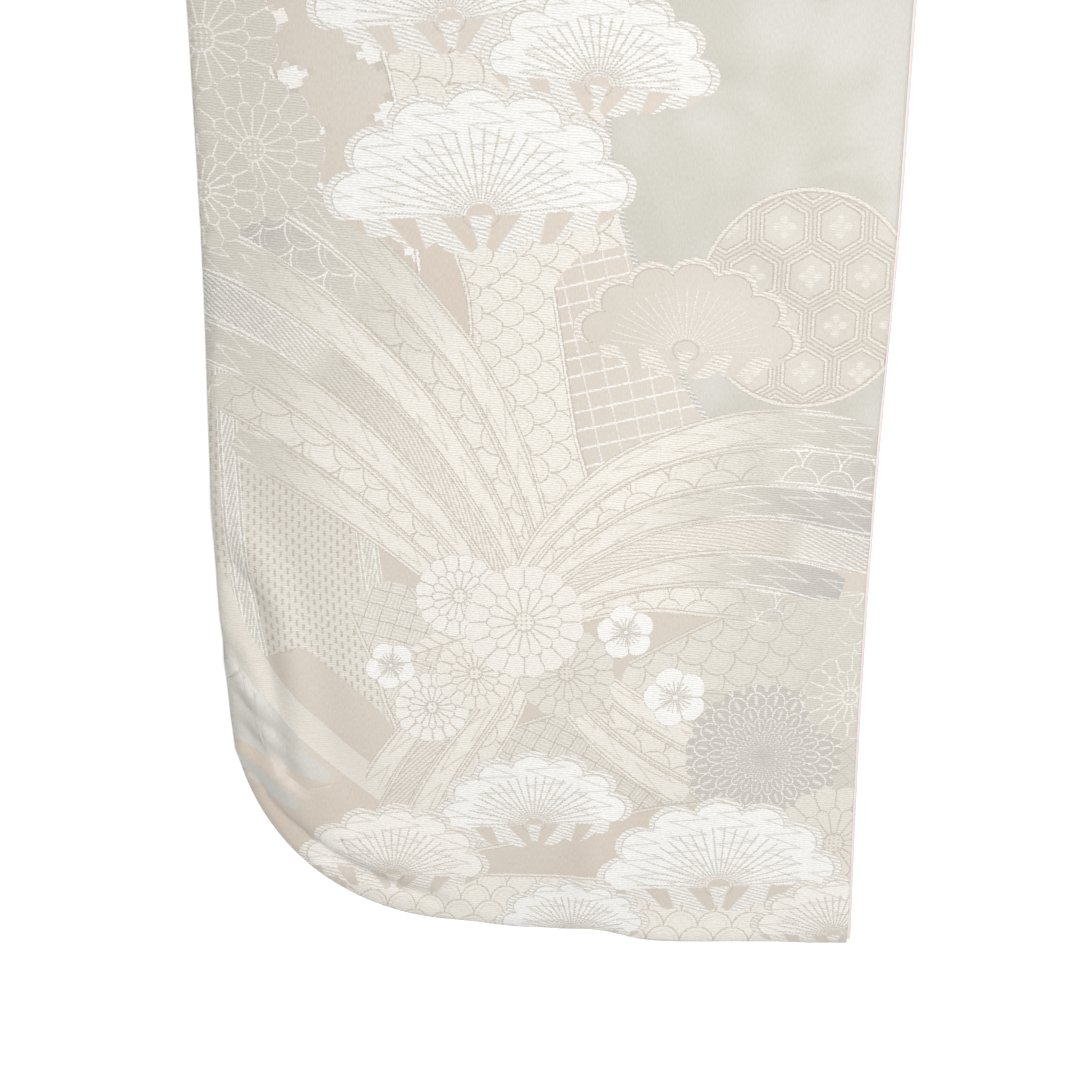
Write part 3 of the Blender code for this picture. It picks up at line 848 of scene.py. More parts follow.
def hexes(x, y):
    """Double-bordered hexagons with a four-petalled flower in each."""
    x, y = x / HEX_WIDTH, y / HEX_WIDTH
    first_x, first_y = fraction(x) - 0.5, (fraction(y / ROOT_THREE) - 0.5) * ROOT_THREE
    other_x = fraction(x - 0.5) - 0.5
    other_y = (fraction(y / ROOT_THREE - 0.5) - 0.5) * ROOT_THREE
    nearer = worked("LESS_THAN", length_of(first_x, first_y), length_of(other_x, other_y))
    x, y = chosen(nearer, first_x, other_x), chosen(nearer, first_y, other_y)
    edge = most(abs(x), abs(x) * 0.5 + abs(y) * (ROOT_THREE / 2))
    hair = HAIR / HEX_WIDTH
    lines = [below(abs(edge - at), hair / 2, hair / 3) for at in HEX_RINGS]
    squared = x * x + y * y
    petals = below(squared * squared, abs(x * x - y * y) * HEX_PETAL, 0.0006)
    band = below(abs(edge - HEX_BAND), HEX_BAND - HEX_RINGS[2], 0.008)
    heart = below(HEX_RINGS[1], edge, 0.008) * HEX_HEART
    return most(petals, band, heart, HEX_GROUND), most(*lines)


print("hexagons", HEX_WIDTH * 1000, "mm across")

# %% [markdown]
# ### Fences and lozenges
#
# A lattice is two sets of bars, a plait two slanting sets that take turns in lying on top, as a
# basket's do, and a stepped lozenge a diamond whose coordinates are rounded to small cells.
# FILLS gives each its name for the rows of the design.

# %% Lattice, plait and lozenges
BAR_ACROSS, BAR_UP, BAR_THICK = 0.0098, 0.0112, 0.0013
PLAIT_PITCH, PLAIT_THREADS, PLAIT_GROUND, PLAIT_GAP = 0.0125, 4, 0.35, 0.045
STEP_CELL, STEP_ACROSS, STEP_UP, STEP_REACH = 0.0036, 0.030, 0.042, 0.26
VEIL_THREAD = 0.62


def lattice(x, y):
    upright = below(from_middle(x / BAR_ACROSS) * BAR_ACROSS, BAR_THICK / 2, SOFT)
    level = below(from_middle(y / BAR_UP) * BAR_UP, BAR_THICK / 3, SOFT)
    return most(upright, level * 0.8), 0.0


def plait(x, y):
    """Two bands of slanting threads that pass over and under each other."""
    first, second = (x + y) / PLAIT_PITCH, (x - y) / PLAIT_PITCH
    over = fraction((whole(first) + whole(second)) * 0.5) * 2
    run = chosen(over, first, second)
    thread = below(from_middle(run * PLAIT_THREADS), 0.30, 0.10)
    white = PLAIT_GROUND + thread * (1 - PLAIT_GROUND)
    return white, below(from_middle(run + 0.5), PLAIT_GAP, 0.02)


def steps(x, y):
    """Stepped lozenges, white against the satin."""
    stepped_x, stepped_y = whole(x / STEP_CELL) * STEP_CELL, whole(y / STEP_CELL) * STEP_CELL
    reach = from_middle(stepped_x / STEP_ACROSS) + from_middle(stepped_y / STEP_UP)
    return below(reach, STEP_REACH, 0.01), below(abs(reach - STEP_REACH), 0.03, 0.01) * 0.6


def plain(x, y):
    return 0.0, 0.0


def veil(x, y):
    """Thread thin enough for the satin to show through."""
    return VEIL_THREAD, 0.0


FILLS = {fill.__name__: fill for fill in (zigzag, hatch, dashes, scales, lattice, plait, steps)}
print("fills", list(FILLS))

# %% [markdown]
# ### Weaves that draw a motif
#
# A motif works in its own radius: how far a point is from its middle, and which petal, lobe or
# fold it falls in. The same lobes as in its outline give the rim, so the two always agree.

# %% Pine
RIM = 0.0048
NEEDLES, NEEDLE_DOT, NEEDLE_ROOT, NEEDLE_TIP, TIP_STAGGER = 22, 0.0019, 0.12, 0.62, 0.16
PINE_HEART, HEART_RING = 0.095, 0.11
FOOT_SLANT, FOOT_GAP, GAP_NARROWS = 1.6, 0.27, 0.75
Spot = namedtuple("Spot", "u v x y size")


def turned_about(u, v):
    return worked("ARCTAN2", v, u)


def lobe_reach(turn, depth):
    notch = abs(worked("SINE", turn * math.pi)) ** LOBE_ROUNDNESS
    return 1 - (1 - notch) * depth


def pine(spot, fill=zigzag):
    up = spot.v / PINE_SQUASH
    reach, angle = length_of(spot.u, up), turned_about(spot.u, up) / math.pi
    inwards = (lobe_reach(angle * PINE_LOBES, PINE_DEPTH) - reach) * spot.size
    rim = below(inwards, RIM, SOFT)
    edges = most(hairline(abs(inwards - RIM)), hairline(inwards, HAIR * 1.4))
    white, lines = fill(spot.x, spot.y)
    needle = from_middle(angle * NEEDLES) * reach * spot.size * (math.pi / NEEDLES)
    tip = NEEDLE_TIP + from_middle(angle * (NEEDLES / 2)) * TIP_STAGGER
    dotted = 0.45 + 0.55 * below(from_middle(reach * spot.size / NEEDLE_DOT), 0.32, 0.1)
    needles = hairline(needle, HAIR * 1.25) * dotted * below(reach, tip, 0.02)
    needles = needles * below(NEEDLE_ROOT, reach, 0.01)
    heart = below(reach, PINE_HEART, 0.008)
    slanting = hatch(spot.x, spot.y)[1]
    if fill is plain:
        white, lines, needles = most(white, needles), lines, 0.0
    inside = chosen(rim, slanting, most(lines, needles))
    dome_thread = most(rim, white) * (1 - heart)
    loop = from_middle(abs(spot.u) * (PINE_LOOPS / 2) - spot.v * FOOT_SLANT)
    gap = below(loop, FOOT_GAP + spot.v * GAP_NARROWS, 0.03)
    foot = below(spot.v, 0.0, 0.004)
    thread = chosen(foot, 1 - gap, dome_thread)
    line = chosen(foot, slanting * (1 - gap), most(inside, edges) * (1 - heart))
    return thread, most(line, hairline(abs(reach - HEART_RING) * spot.size, HAIR * 0.8))


def pine_plain(spot):
    return pine(spot, plain)


print("needles in a pine", NEEDLES)

# %% [markdown]
# ### Flowers
#
# Petals are counted by the angle about the middle. Lines between them are drawn as thin as any
# other hairline by turning that angle back into metres, whatever the flower's size. A dahlia's
# petals stand in rings, so it is fish scales bent round a circle.

# %% Flowers
INNER_PETALS, INNER_DEPTH, MUM_HEART, MUM_RING, MUM_DOTS = 0.62, 0.2, 0.15, 0.165, 0.0026
DAHLIA_RINGS = 5.6
STAMENS, STAMEN_MIDDLE, STAMEN_HALF, PLUM_HEART = 4, 0.32, 0.2, 0.1


def petal_lines(turn, reach, size, petals):
    """The lines between petals: turn is a whole number there."""
    aside = (0.5 - from_middle(turn)) * reach * size * (2 * math.pi / petals)
    return hairline(aside)


def mum(spot):
    reach = length_of(spot.u, spot.v)
    turn = turned_about(spot.u, spot.v) * (PETALS / (2 * math.pi))
    inner_reach = lobe_reach(turn + 0.5, INNER_DEPTH) * INNER_PETALS
    inner = below(reach, inner_reach, 0.01)
    between = petal_lines(turn + inner * 0.5, reach, spot.size, PETALS)
    edges = hairline(abs(inner_reach - reach) * spot.size)
    outwards = (lobe_reach(turn, PETAL_DEPTH) - reach) * spot.size
    heart = below(reach, MUM_HEART, 0.01)
    dots = from_middle(spot.x / MUM_DOTS) + from_middle(spot.y / MUM_DOTS)
    line = most(between * (1 - heart), edges, hairline(outwards), below(dots, 0.3, 0.1) * heart)
    return 1.0, most(line, hairline(abs(reach - MUM_RING) * spot.size))


def dahlia(spot):
    """Petals in staggered rings, drawn as scales bent round the middle."""
    reach = length_of(spot.u, spot.v)
    ring = reach * DAHLIA_RINGS
    turn = turned_about(spot.u, spot.v) * (DAHLIA_PETALS / (2 * math.pi)) + whole(ring) * 0.5
    across = (fraction(turn) - 0.5) * 2
    arc = length_of(across, fraction(ring))
    line = hairline(abs(arc - 1) * spot.size / DAHLIA_RINGS)
    vein = below(from_middle(turn), 0.08, 0.03) * below(arc, 0.75, 0.05) * 0.55
    return 1.0, most(line, vein)


def plum(spot):
    reach = length_of(spot.u, spot.v)
    turn = turned_about(spot.u, spot.v) * (PLUM_PETALS / (2 * math.pi))
    outwards = (lobe_reach(turn, PLUM_DEPTH) - reach) * spot.size
    between = petal_lines(turn, reach, spot.size, PLUM_PETALS) * below(0.2, reach, 0.02)
    stamen = from_middle(turn * STAMENS) * reach * spot.size
    stamen = hairline(stamen * (2 * math.pi / PLUM_PETALS / STAMENS), HAIR * 0.8)
    stamen = stamen * below(abs(reach - STAMEN_MIDDLE), STAMEN_HALF, 0.01)
    ring = hairline(abs(reach - PLUM_HEART) * spot.size)
    return 1.0, most(between, stamen, hairline(outwards), ring)


print("petals", PETALS, DAHLIA_PETALS, PLUM_PETALS)

# %% [markdown]
# ### Fan, leaf and roundel
#
# A fan is bare ribs near its rivet and pleated paper beyond. A leaf has a rib and veins, with one
# half hatched as if it were in shade. A roundel frames a disc of tortoiseshell.

# %% Fan, leaf and roundel
FAN_RINGS = (FAN_HUB + 0.01, 0.865, 0.935, 0.42)
FAN_BAND, BAND_HALF, STICK_HALF = 0.90, 0.035, 0.26
VEINS, VEIN_SWEEP, VEIN_HALF = 3.5, 3.0, 0.09
ROUNDEL_RIM = 0.0026


def fan(spot):
    reach = length_of(spot.u, spot.v)
    turn = (turned_about(spot.u, spot.v) - (math.pi - FAN_SPREAD) / 2) * (FAN_FOLDS / FAN_SPREAD)
    ridge = (0.5 - from_middle(turn)) * reach * spot.size * (FAN_SPREAD / FAN_FOLDS)
    valley = from_middle(turn) * reach * spot.size * (FAN_SPREAD / FAN_FOLDS)
    paper = below(FAN_HUB, reach, 0.005)
    stick = below(from_middle(turn), STICK_HALF, 0.05)
    white, figure = zigzag(spot.x, spot.y)
    band = below(abs(reach - FAN_BAND), BAND_HALF, 0.004)
    rings = [hairline(abs(reach - at) * spot.size) for at in FAN_RINGS]
    on_paper = most(hairline(ridge), hairline(valley, HAIR * 0.6) * 0.6, *rings)
    on_paper = most(on_paper, chosen(band, hatch(spot.x, spot.y)[1], figure * 0.8))
    return chosen(paper, white, stick), on_paper * paper


def leaf(spot):
    vein = from_middle(spot.u * VEINS + abs(spot.v) * VEIN_SWEEP)
    rib = hairline(abs(spot.v) * spot.size)
    side = below(spot.v, 0.0, 0.01)
    return 1.0, most(rib, below(vein, VEIN_HALF, 0.05) * 0.8, hatch(spot.x, spot.y)[1] * side * 0.6)


def roundel(spot):
    inwards = (1 - length_of(spot.u, spot.v)) * spot.size
    white, lines = hexes(spot.x, spot.y)
    rim = below(inwards, ROUNDEL_RIM, SOFT)
    edges = most(hairline(inwards, HAIR * 1.4), hairline(abs(inwards - ROUNDEL_RIM)))
    return most(white, rim), most(chosen(rim, 0.0, lines), edges)


print("folds in a fan", FAN_FOLDS)

# %% [markdown]
# ### Ribbons, mists and bare satin
#
# A ribbon has a double border and a fill between. A mist is bare satin inside a hatched border,
# and a stream is thin thread with none. WEAVES lists every weave, the bare ground first.

# %% Weaves by name
RIBBON_BORDER, MIST_BORDER = 0.0022, 0.0030


def strip_of(fill):
    """A band with a double border and that fill."""

    def draw(spot):
        inwards = spot.size - abs(spot.v)
        white, lines = fill(spot.u, spot.v)
        border = below(inwards, RIBBON_BORDER, SOFT)
        edges = most(hairline(inwards, HAIR * 1.4), hairline(abs(inwards - RIBBON_BORDER)))
        return most(border, white), most(lines * (1 - border), edges)

    return draw


def stream(spot):
    return veil(spot.u, spot.v)


def mist(spot):
    """Bare satin inside a narrow hatched border."""
    border = below(spot.size - abs(spot.v), MIST_BORDER, SOFT)
    return border, border * hatch(spot.x, spot.y)[1]


def bare(spot):
    return 0.0, 0.0


MOTIFS = (pine, pine_plain, mum, dahlia, plum, fan, leaf, roundel)
WEAVES = {"ground": bare} | {draw.__name__: draw for draw in MOTIFS}
WEAVES |= {"strip_" + name: strip_of(fill) for name, fill in FILLS.items()}
WEAVES |= {"strip_" + draw.__name__: draw for draw in (mist, bare, stream)}
print("weaves", len(WEAVES))

# %% [markdown]
# ### Silk: what every weave shares
#
# The ground is warpwise satin: glossy, a little warm, with streaks along its threads. The
# figure's weft floats on it in a thicker, matter, whiter thread, so it stands a tenth of a
# millimetre proud. One function gives every weave the same silk, from its two masks.

# %% Silk's colours
WHITE_THREAD = (0.788, 0.779, 0.754)
IVORY_THREAD = (0.757, 0.720, 0.662)
CREAM_THREAD = (0.600, 0.572, 0.508)
SILVER_THREAD = (0.440, 0.418, 0.396)
# The ground's two colours are mixed in broad clouds of noise: the cooler, paler one is painted
# sheen.
WARM_GROUND = (0.600, 0.522, 0.450)
COOL_SHEEN_GROUND = (0.630, 0.580, 0.515)
BARE_SATIN = (0.522, 0.501, 0.440)
# LIT_SATIN is painted sheen in soft patches on bare satin, and the real pale satin of bands whose
# tone is near 1.
LIT_SATIN = (0.592, 0.580, 0.536)
DARK_HAIR = (0.480, 0.425, 0.355)
LIGHT_HAIR = (0.860, 0.845, 0.805)
print("threads from white to silver", WHITE_THREAD, SILVER_THREAD)

# %% [markdown]
# ### Threads
#
# Real threads are what keeps a plain colour from looking like paint. Stretched noise gives each
# thread its own shade, and the same noise shifts the figure's edges by a thread or so, as a loom
# does, because it can only step from thread to thread. The weft's floats lie in broken rows.

# %% Threads
WARP_GRAIN, WEFT_GRAIN = (1500, 420), (520, 1250)
FLOAT_UP, FLOAT_LONG, FLOAT_LEAN, FLOAT_WAVER, FLOAT_STAGGER = 0.00128, 0.0046, 0.09, 1.4, 0.38
FLOAT_HALF, FLOAT_END, ROW_DIP = 0.33, 0.36, 0.55


def mixed_colour(share, first, second):
    node = fresh("Mix")
    node.data_type = "RGBA"
    for place, term in ((0, share), (6, first), (7, second)):
        put(node.inputs[place], term)
    return Ink(node.outputs[2])


def map_axes(name):
    """Across and up on one of the mesh's maps."""
    node = fresh("UVMap")
    node.uv_map = name
    parted = fresh("SeparateXYZ")
    put(parted.inputs[0], Ink(node.outputs[0]))
    return Ink(parted.outputs[0]), Ink(parted.outputs[1])


def noise(place, scale=1.0, detail=2.0):
    node = fresh("TexNoise")
    for word, term in (("Scale", scale), ("Detail", detail), ("Vector", place)):
        put(node.inputs[word], term)
    return Ink(node.outputs[0])


def grain(x, y, threads):
    return noise(fed(fresh("CombineXYZ"), (x * threads[0], y * threads[1])))


def floats(x, y, slub):
    """The dips between the weft's floats: broken rows that waver a little."""
    row = (y + x * FLOAT_LEAN) / FLOAT_UP + slub * FLOAT_WAVER
    between = 1 - below(from_middle(row), FLOAT_HALF, 0.14)
    ends = from_middle(x / FLOAT_LONG + whole(row) * FLOAT_STAGGER + slub)
    return between * (ROW_DIP + (1 - ROW_DIP) * below(ends, FLOAT_END, 0.08))


print("a float is", FLOAT_LONG * 1000, "mm long")

# %% [markdown]
# ### The finish
#
# The masks and the tone choose the colour: ground or bare satin below, white to silver thread
# above, a hairline on top. The ground's broad warm and cool clouds and the soft lighter patches
# on bare satin are painted sheen. The grains then shade it and lift it, and the dips between the
# weft's floats are darkened as painted shade. Numbers that are the same all over the cloth, such
# as sheen, are set on the shader itself, so that an export keeps them.

# %% Silk
SHEEN_CLOUD_SCALE, SHEEN_SCALE, MOTTLE_SCALE, SLUB_SCALE = 6.5, 21.0, 900.0, 260.0
SHEEN_SHARE, LINE_SHARE = 0.8, 0.8
PALEST, STREAK_SHADE, DIP_SHADE = 0.812, 0.48, 0.125
SATIN_ROUGH, THREAD_ROUGHER = 0.42, 0.08
THREAD_RISE = 0.00014
GLOSS, SHEEN, SHEEN_ROUGH = 0.42, 0.12, 0.45


def raised(shader, height, rise):
    """Relief on the cloth. rise is how many metres a height of 1 stands for."""
    relief = fresh("Bump")
    relief.inputs["Distance"].default_value = rise
    put(relief.inputs["Height"], height)
    put(shader.inputs["Normal"], Ink(relief.outputs[0]))


def silk(shader, thread, line, tone, x, y, warp, weft):
    """Colours, gloss and relief of figured satin, from the weave's masks."""
    place = Ink(fresh("TexCoord").outputs["Object"])
    sheen_cloud = noise(place, SHEEN_CLOUD_SCALE, 1.0)
    mottle, slub = noise(place, MOTTLE_SCALE, 1.0), noise(place, SLUB_SCALE, 1.0)
    dips = floats(x, y, slub) * thread
    # painted sheen: broad clouds of the cooler, paler ground colour
    ground = mixed_colour(below(0.5, sheen_cloud, 0.26), WARM_GROUND, COOL_SHEEN_GROUND)
    # painted sheen: soft lighter patches on bare satin; a tone near 1 is the band's own pale satin
    lit = below(0.5, noise(place, SHEEN_SCALE, 1.0), 0.13) * SHEEN_SHARE
    lit = most(lit, tone * 10 - 9)
    satin = mixed_colour(lit, BARE_SATIN, LIT_SATIN)
    ground = mixed_colour(least(tone * 1.6, 1.0), ground, satin)
    figure = mixed_colour(least(tone * 5, 1.0), WHITE_THREAD, IVORY_THREAD)
    figure = mixed_colour(most(least(tone * 3.4 - 0.7, 1.0), 0.0), figure, CREAM_THREAD)
    figure = mixed_colour(most(tone * 2 - 1, 0.0), figure, SILVER_THREAD)
    hair = mixed_colour(below(0.5, tone, 0.05), DARK_HAIR, LIGHT_HAIR)
    colour = mixed_colour(thread, ground, figure)
    colour = mixed_colour(line * LINE_SHARE, colour, hair)
    streak = chosen(thread, weft, warp) * 0.6 + mottle * (thread * 0.3 + 0.1) + 0.05
    shade = fresh("HueSaturation")
    # The dips between floats darken the colour too: painted shade, besides their relief further on.
    put(shade.inputs["Value"], streak * STREAK_SHADE + PALEST - dips * DIP_SHADE)
    put(shade.inputs["Color"], colour)
    put(shader.inputs["Base Color"], Ink(shade.outputs[0]))
    put(shader.inputs["Roughness"], thread * THREAD_ROUGHER + SATIN_ROUGH)
    raised(shader, thread * 0.7 - line * 0.35 + streak * 0.5 - dips * 0.5, THREAD_RISE)
    put(shader.inputs["Specular IOR Level"], GLOSS)
    put(shader.inputs["Sheen Weight"], SHEEN)
    put(shader.inputs["Sheen Roughness"], SHEEN_ROUGH)


print("the figure stands", THREAD_RISE * 1000, "mm proud")

# %% [markdown]
# ### One material for each weave
#
# Each weave gets its own material, and three attributes of the mesh steer it: the figure's own
# coordinates, the cloth's in metres, and the figure's size and tone. One material for all would
# need every weave's nodes at once, and would render slowly.

# %% Brocade
JAG = 0.0024


def woven(name, draw):
    """A weave's material: its masks in this silk, with edges jagged by the threads."""
    finish, shader = new_finish(name)
    Ink.tree = finish.node_tree
    u, v = map_axes("figure")
    x, y = map_axes("cloth")
    size, tone = map_axes("make")
    warp, weft = grain(x, y, WARP_GRAIN), grain(x, y, WEFT_GRAIN)
    right, up = (weft - 0.5) * JAG, (warp - 0.5) * JAG
    unit = 1.0 if name.startswith("strip_") else size
    thread, line = draw(Spot(u + right / unit, v + up / unit, x + right, y + up, size))
    thread, line = (mask if isinstance(mask, Ink) else mask + u * 0 for mask in (thread, line))
    silk(shader, thread, line, tone, x, y, warp, weft)
    return finish


BROCADE = {name: woven(name, draw) for name, draw in WEAVES.items()}
node_count = sum(len(finish.node_tree.nodes) for finish in BROCADE.values())
print("nodes in the weaves", node_count)

# %% [markdown]
# ### The lining
#
# Uchikake are lined in plain silk that shows as a fine pinkish edge at the sleeve openings.
# It is a plain weave with no figure: a soft crossing of warp and weft grains is enough.

# %% Lining
LINING_SILK = (0.800, 0.715, 0.695)
LINING_SHADE = (0.740, 0.650, 0.635)
PLAIN_CLOUD, PLAIN_RISE, PLAIN_SHEEN = 26.0, 0.00008, 0.15
LINING_ROUGH = 0.38


def plain_silk(name, light, shaded, roughness):
    finish, shader = new_finish(name)
    Ink.tree = finish.node_tree
    x, y = map_axes("cloth")
    crossing = grain(x, y, WARP_GRAIN) * 0.5 + grain(x, y, WEFT_GRAIN) * 0.5
    place = Ink(fresh("TexCoord").outputs["Object"])
    shade = below(0.5, crossing * 0.6 + noise(place, PLAIN_CLOUD) * 0.4, 0.22)
    put(shader.inputs["Base Color"], mixed_colour(shade, light, shaded))
    put(shader.inputs["Roughness"], shade * THREAD_ROUGHER + roughness)
    raised(shader, crossing, PLAIN_RISE)
    put(shader.inputs["Sheen Weight"], PLAIN_SHEEN)
    return finish


lining_silk = plain_silk("lining_silk", LINING_SILK, LINING_SHADE, LINING_ROUGH)
SLOTS = [*BROCADE.values(), lining_silk]
LINING_SLOT = len(SLOTS) - 1

# %% [markdown]
# ## Inlaying the figures in a panel
#
# A panel's mesh has to hold its own outline, the outlines of all the figures on it and a grid
# fine enough for its folds. Boolean cuts or knife projections of some hundred outlines are slow
# and fragile, and bmesh has no operator for it. A constrained Delaunay triangulation does all
# of it in one call, on the flat cloth, and says which outlines each triangle lies in. The
# triangles are then laid on the folds, so no operator's shape is made by hand here.

# %% Points and outlines
def inside(points, outline):
    """Which points an outline holds, by counting its crossings to their right."""
    hits = np.zeros(len(points), bool)
    for start, end in zip(outline, np.roll(outline, -1, axis=0)):
        low, high = (start[1] > points[:, 1]), (end[1] > points[:, 1])
        crosses = low != high
        rise = end[1] - start[1] if end[1] != start[1] else 1.0
        at = start[0] + (points[:, 1] - start[1]) * (end[0] - start[0]) / rise
        hits ^= crosses & (points[:, 0] < at)
    return hits


def closed(outline):
    return np.concatenate([outline, outline[:1]])


def ring_area(outline):
    """A ring's area; it is below nought where the ring runs clockwise."""
    following = np.roll(outline, -1, axis=0)
    return (outline[:, 0] * following[:, 1] - following[:, 0] * outline[:, 1]).sum() / 2


def anticlockwise(outline):
    """The same ring, turned the way in which the triangulation takes its inside."""
    return outline if ring_area(outline) > 0 else outline[::-1]


def staggered_grid(low, high, pitch):
    """Points in a brick pattern, each row half a pitch along from the last."""
    rows = np.arange(low[1], high[1], pitch * ROOT_THREE / 2)
    columns = np.arange(low[0], high[0] + pitch, pitch)
    right, up = np.meshgrid(columns, rows)
    right = right + (np.arange(len(rows)) % 2)[:, None] * pitch / 2
    return pairs(right.ravel(), up.ravel())


print("dots in a square of 10 cm", len(staggered_grid((0, 0), (0.1, 0.1), 0.01)))

# %% [markdown]
# ### The flat cloth
#
# A panel is its outline, guide lines along its edges and folds, the function that lays it in
# place, its edges, and areas with a grid of their own. The topmost figure wins where several
# overlap, so a later row of the design covers an earlier one, like a later layer of paint.

# %% Flat cloth
Panel = namedtuple("Panel", "outline guides place edges grid")
Edge = namedtuple("Edge", "line fall width")
TRIANGLES_INSIDE = 1
MERGE = 4e-5
OFF_OUTLINE, OFF_GUIDE = 0.60, 0.45


def triangulated(panel, figures):
    """The flat panel's points, triangles, and the topmost figure of each, or -1 for none."""
    points, links, rings = [], [], []

    def add(line):
        start = sum(map(len, points))
        points.append(line)
        return list(range(start, start + len(line)))

    for outline in [panel.outline] + [figure.outline for figure in figures]:
        rings.append(add(anticlockwise(outline)))
    for guide in panel.guides:
        held = add(guide)
        links += zip(held[:-1], held[1:])
    for area, pitch in panel.grid:
        dots = staggered_grid(area.min(axis=0), area.max(axis=0), pitch)
        dots = dots[inside(dots, area) & inside(dots, panel.outline)]
        clear = segment_distances(dots, closed(panel.outline), pitch)[0] > pitch * OFF_OUTLINE
        for guide in panel.guides:
            clear &= segment_distances(dots, guide, pitch)[0] > pitch * OFF_GUIDE
        add(dots[clear])
    flat = [Vector(point) for point in np.concatenate(points)]
    made = delaunay_2d_cdt(flat, links, rings, TRIANGLES_INSIDE, MERGE, True)
    spots = np.array([tuple(point) for point in made[0]])
    corners = np.array(made[2])
    tops = np.array([max(origins, default=0) - 1 for origins in made[5]])
    kept = inside(spots[corners].mean(axis=1), panel.outline)
    return spots, corners[kept], tops[kept]


print("a panel is", Panel._fields)

# %% [markdown]
# ### Edges, normals and wall
#
# At a seam the cloth turns under, so its edge rolls down a quarter round. Solidify gives the
# flat sheet its wall, with the lining's finish below. Doing so before it is laid on its folds
# keeps the wall even. The normals are summed by area, since inlays leave thin triangles.

# %% Edges and wall
def rolled_down(points, edges):
    """How far the cloth has rolled down near its edges: a quarter round, then flat."""
    fall = np.zeros(len(points))
    for edge in edges:
        distance = segment_distances(points, edge.line, edge.width)[0]
        left = 1 - np.clip(distance / edge.width, 0, 1)
        fall = np.maximum(fall, edge.fall * (1 - np.sqrt(1 - left**2)))
    return fall


def vertex_normals(points, corners):
    """Normals weighted by area, so that a needle of a triangle can't turn one."""
    first, second, third = (points[corners[:, corner]] for corner in range(3))
    face_normals = np.cross(second - first, third - first)
    summed = np.zeros_like(points)
    for corner in range(3):
        np.add.at(summed, corners[:, corner], face_normals)
    return summed / np.maximum(np.linalg.norm(summed, axis=1), 1e-15)[:, None]


def thickened(mesh, wall):
    """The flat cloth as a solid: its right side above, its lining below."""
    flat_piece = into_scene("flat", mesh)
    thicken = flat_piece.modifiers.new("wall", "SOLIDIFY")
    thicken.thickness = wall
    thicken.offset = 0
    thicken.material_offset = LINING_SLOT
    evaluated = flat_piece.evaluated_get(bpy.context.evaluated_depsgraph_get())
    solid = bpy.data.meshes.new_from_object(evaluated)
    bpy.data.objects.remove(flat_piece)
    return solid


print("the lining is slot", LINING_SLOT)

# %% [markdown]
# ### From panel to piece
#
# Now it all comes together: triangulate, write the maps that steer the weaves, thicken, lay on
# the folds. The finished mesh is already in the robe's own place, so its object stays at the
# origin, and what was woven on the flat cloth goes over every crease unstretched.

# %% Cloth
CLOTH_WALL = 0.0015


def add_cloth(name, panel, figures, wall=CLOTH_WALL, bare=0):
    """A panel with its figures inlaid, given its wall and laid on its folds."""
    flat, corners, tops = triangulated(panel, figures)
    used, corners = np.unique(corners, return_inverse=True)
    flat, corners = flat[used], corners.reshape(-1, 3)
    mesh = bpy.data.meshes.new(name)
    mesh.from_pydata(np.pad(flat, ((0, 0), (0, 1))), [], corners.tolist())
    kinds = list(WEAVES)
    slots = np.array([kinds.index(figure.kind) for figure in figures] + [bare])
    mesh.polygons.foreach_set("material_index", slots[tops])
    loops = flat[corners.ravel()]
    drawn, make = loops.copy(), np.zeros_like(loops)
    for top, figure in enumerate(figures):
        on_it = np.repeat(tops == top, 3)
        if on_it.any():
            drawn[on_it] = figure.local(loops[on_it])
            make[on_it] = pairs(figure.size(loops[on_it]), figure.tone(loops[on_it]))
    for map_name, values in (("figure", drawn), ("cloth", loops), ("make", make)):
        mesh.uv_layers.new(name=map_name).uv.foreach_set("vector", values.ravel())
    for finish in SLOTS:
        mesh.materials.append(finish)

    solid = thickened(mesh, wall)
    solid.name = name
    spots = np.zeros(len(solid.vertices) * 3)
    solid.vertices.foreach_get("co", spots)
    side = np.sign(spots.reshape(-1, 3)[:, 2])[:, None] * wall / 2
    middle = panel.place(flat)
    outwards = vertex_normals(middle, corners)
    laid_out = np.tile(middle, (2, 1)) + np.tile(outwards, (2, 1)) * side
    solid.vertices.foreach_set("co", laid_out.ravel())
    solid.update()
    solid.shade_smooth()
    solid.calc_loop_triangles()
    triangles = np.zeros(len(solid.loop_triangles) * 3, int)
    solid.loop_triangles.foreach_get("vertices", triangles)
    solid.normals_split_custom_set_from_vertices(vertex_normals(laid_out, triangles.reshape(-1, 3)))
    piece = into_scene(name, solid)
    print(name, "triangles", len(solid.loop_triangles), "figures", len(figures))
    return piece


print("the cloth is", CLOTH_WALL * 1000, "mm thick")

# %% [markdown]
# ## Panels
#
# A sleeve is one length of cloth folded at its top, and each side of the body one length folded
# at the shoulder. So each is one sheet here too. Its flat coordinates are right and up as the
# wearer's back is seen, with 0 up at the fold: the upper leaf lies below 0, the lower leaf above.

# %% Folding a length of cloth
TURN_HALF = math.pi * LAYER / 4
UPPER, LOWER = 1, -1


def on_panel(side, across, along):
    return pairs(side * across, -along)


def on_leaf(side, spots, leaf=UPPER):
    """Places on a leaf, as across and down from the fold, to its panel's right and up."""
    spots = np.array(spots, float)
    return on_panel(side, spots[..., 0], leaf * (spots[..., 1] + TURN_HALF))


def shifted(line, distance):
    """A line moved sideways, to its left as it runs."""
    return line + sideways(line) * distance


def oblong(left, right, first, last):
    """An area's four corners, in turn."""
    return np.array([(left, first), (right, first), (right, last), (left, last)])


def box_round(outline):
    (left, first), (right, last) = outline.min(axis=0), outline.max(axis=0)
    return oblong(left, right, first, last)


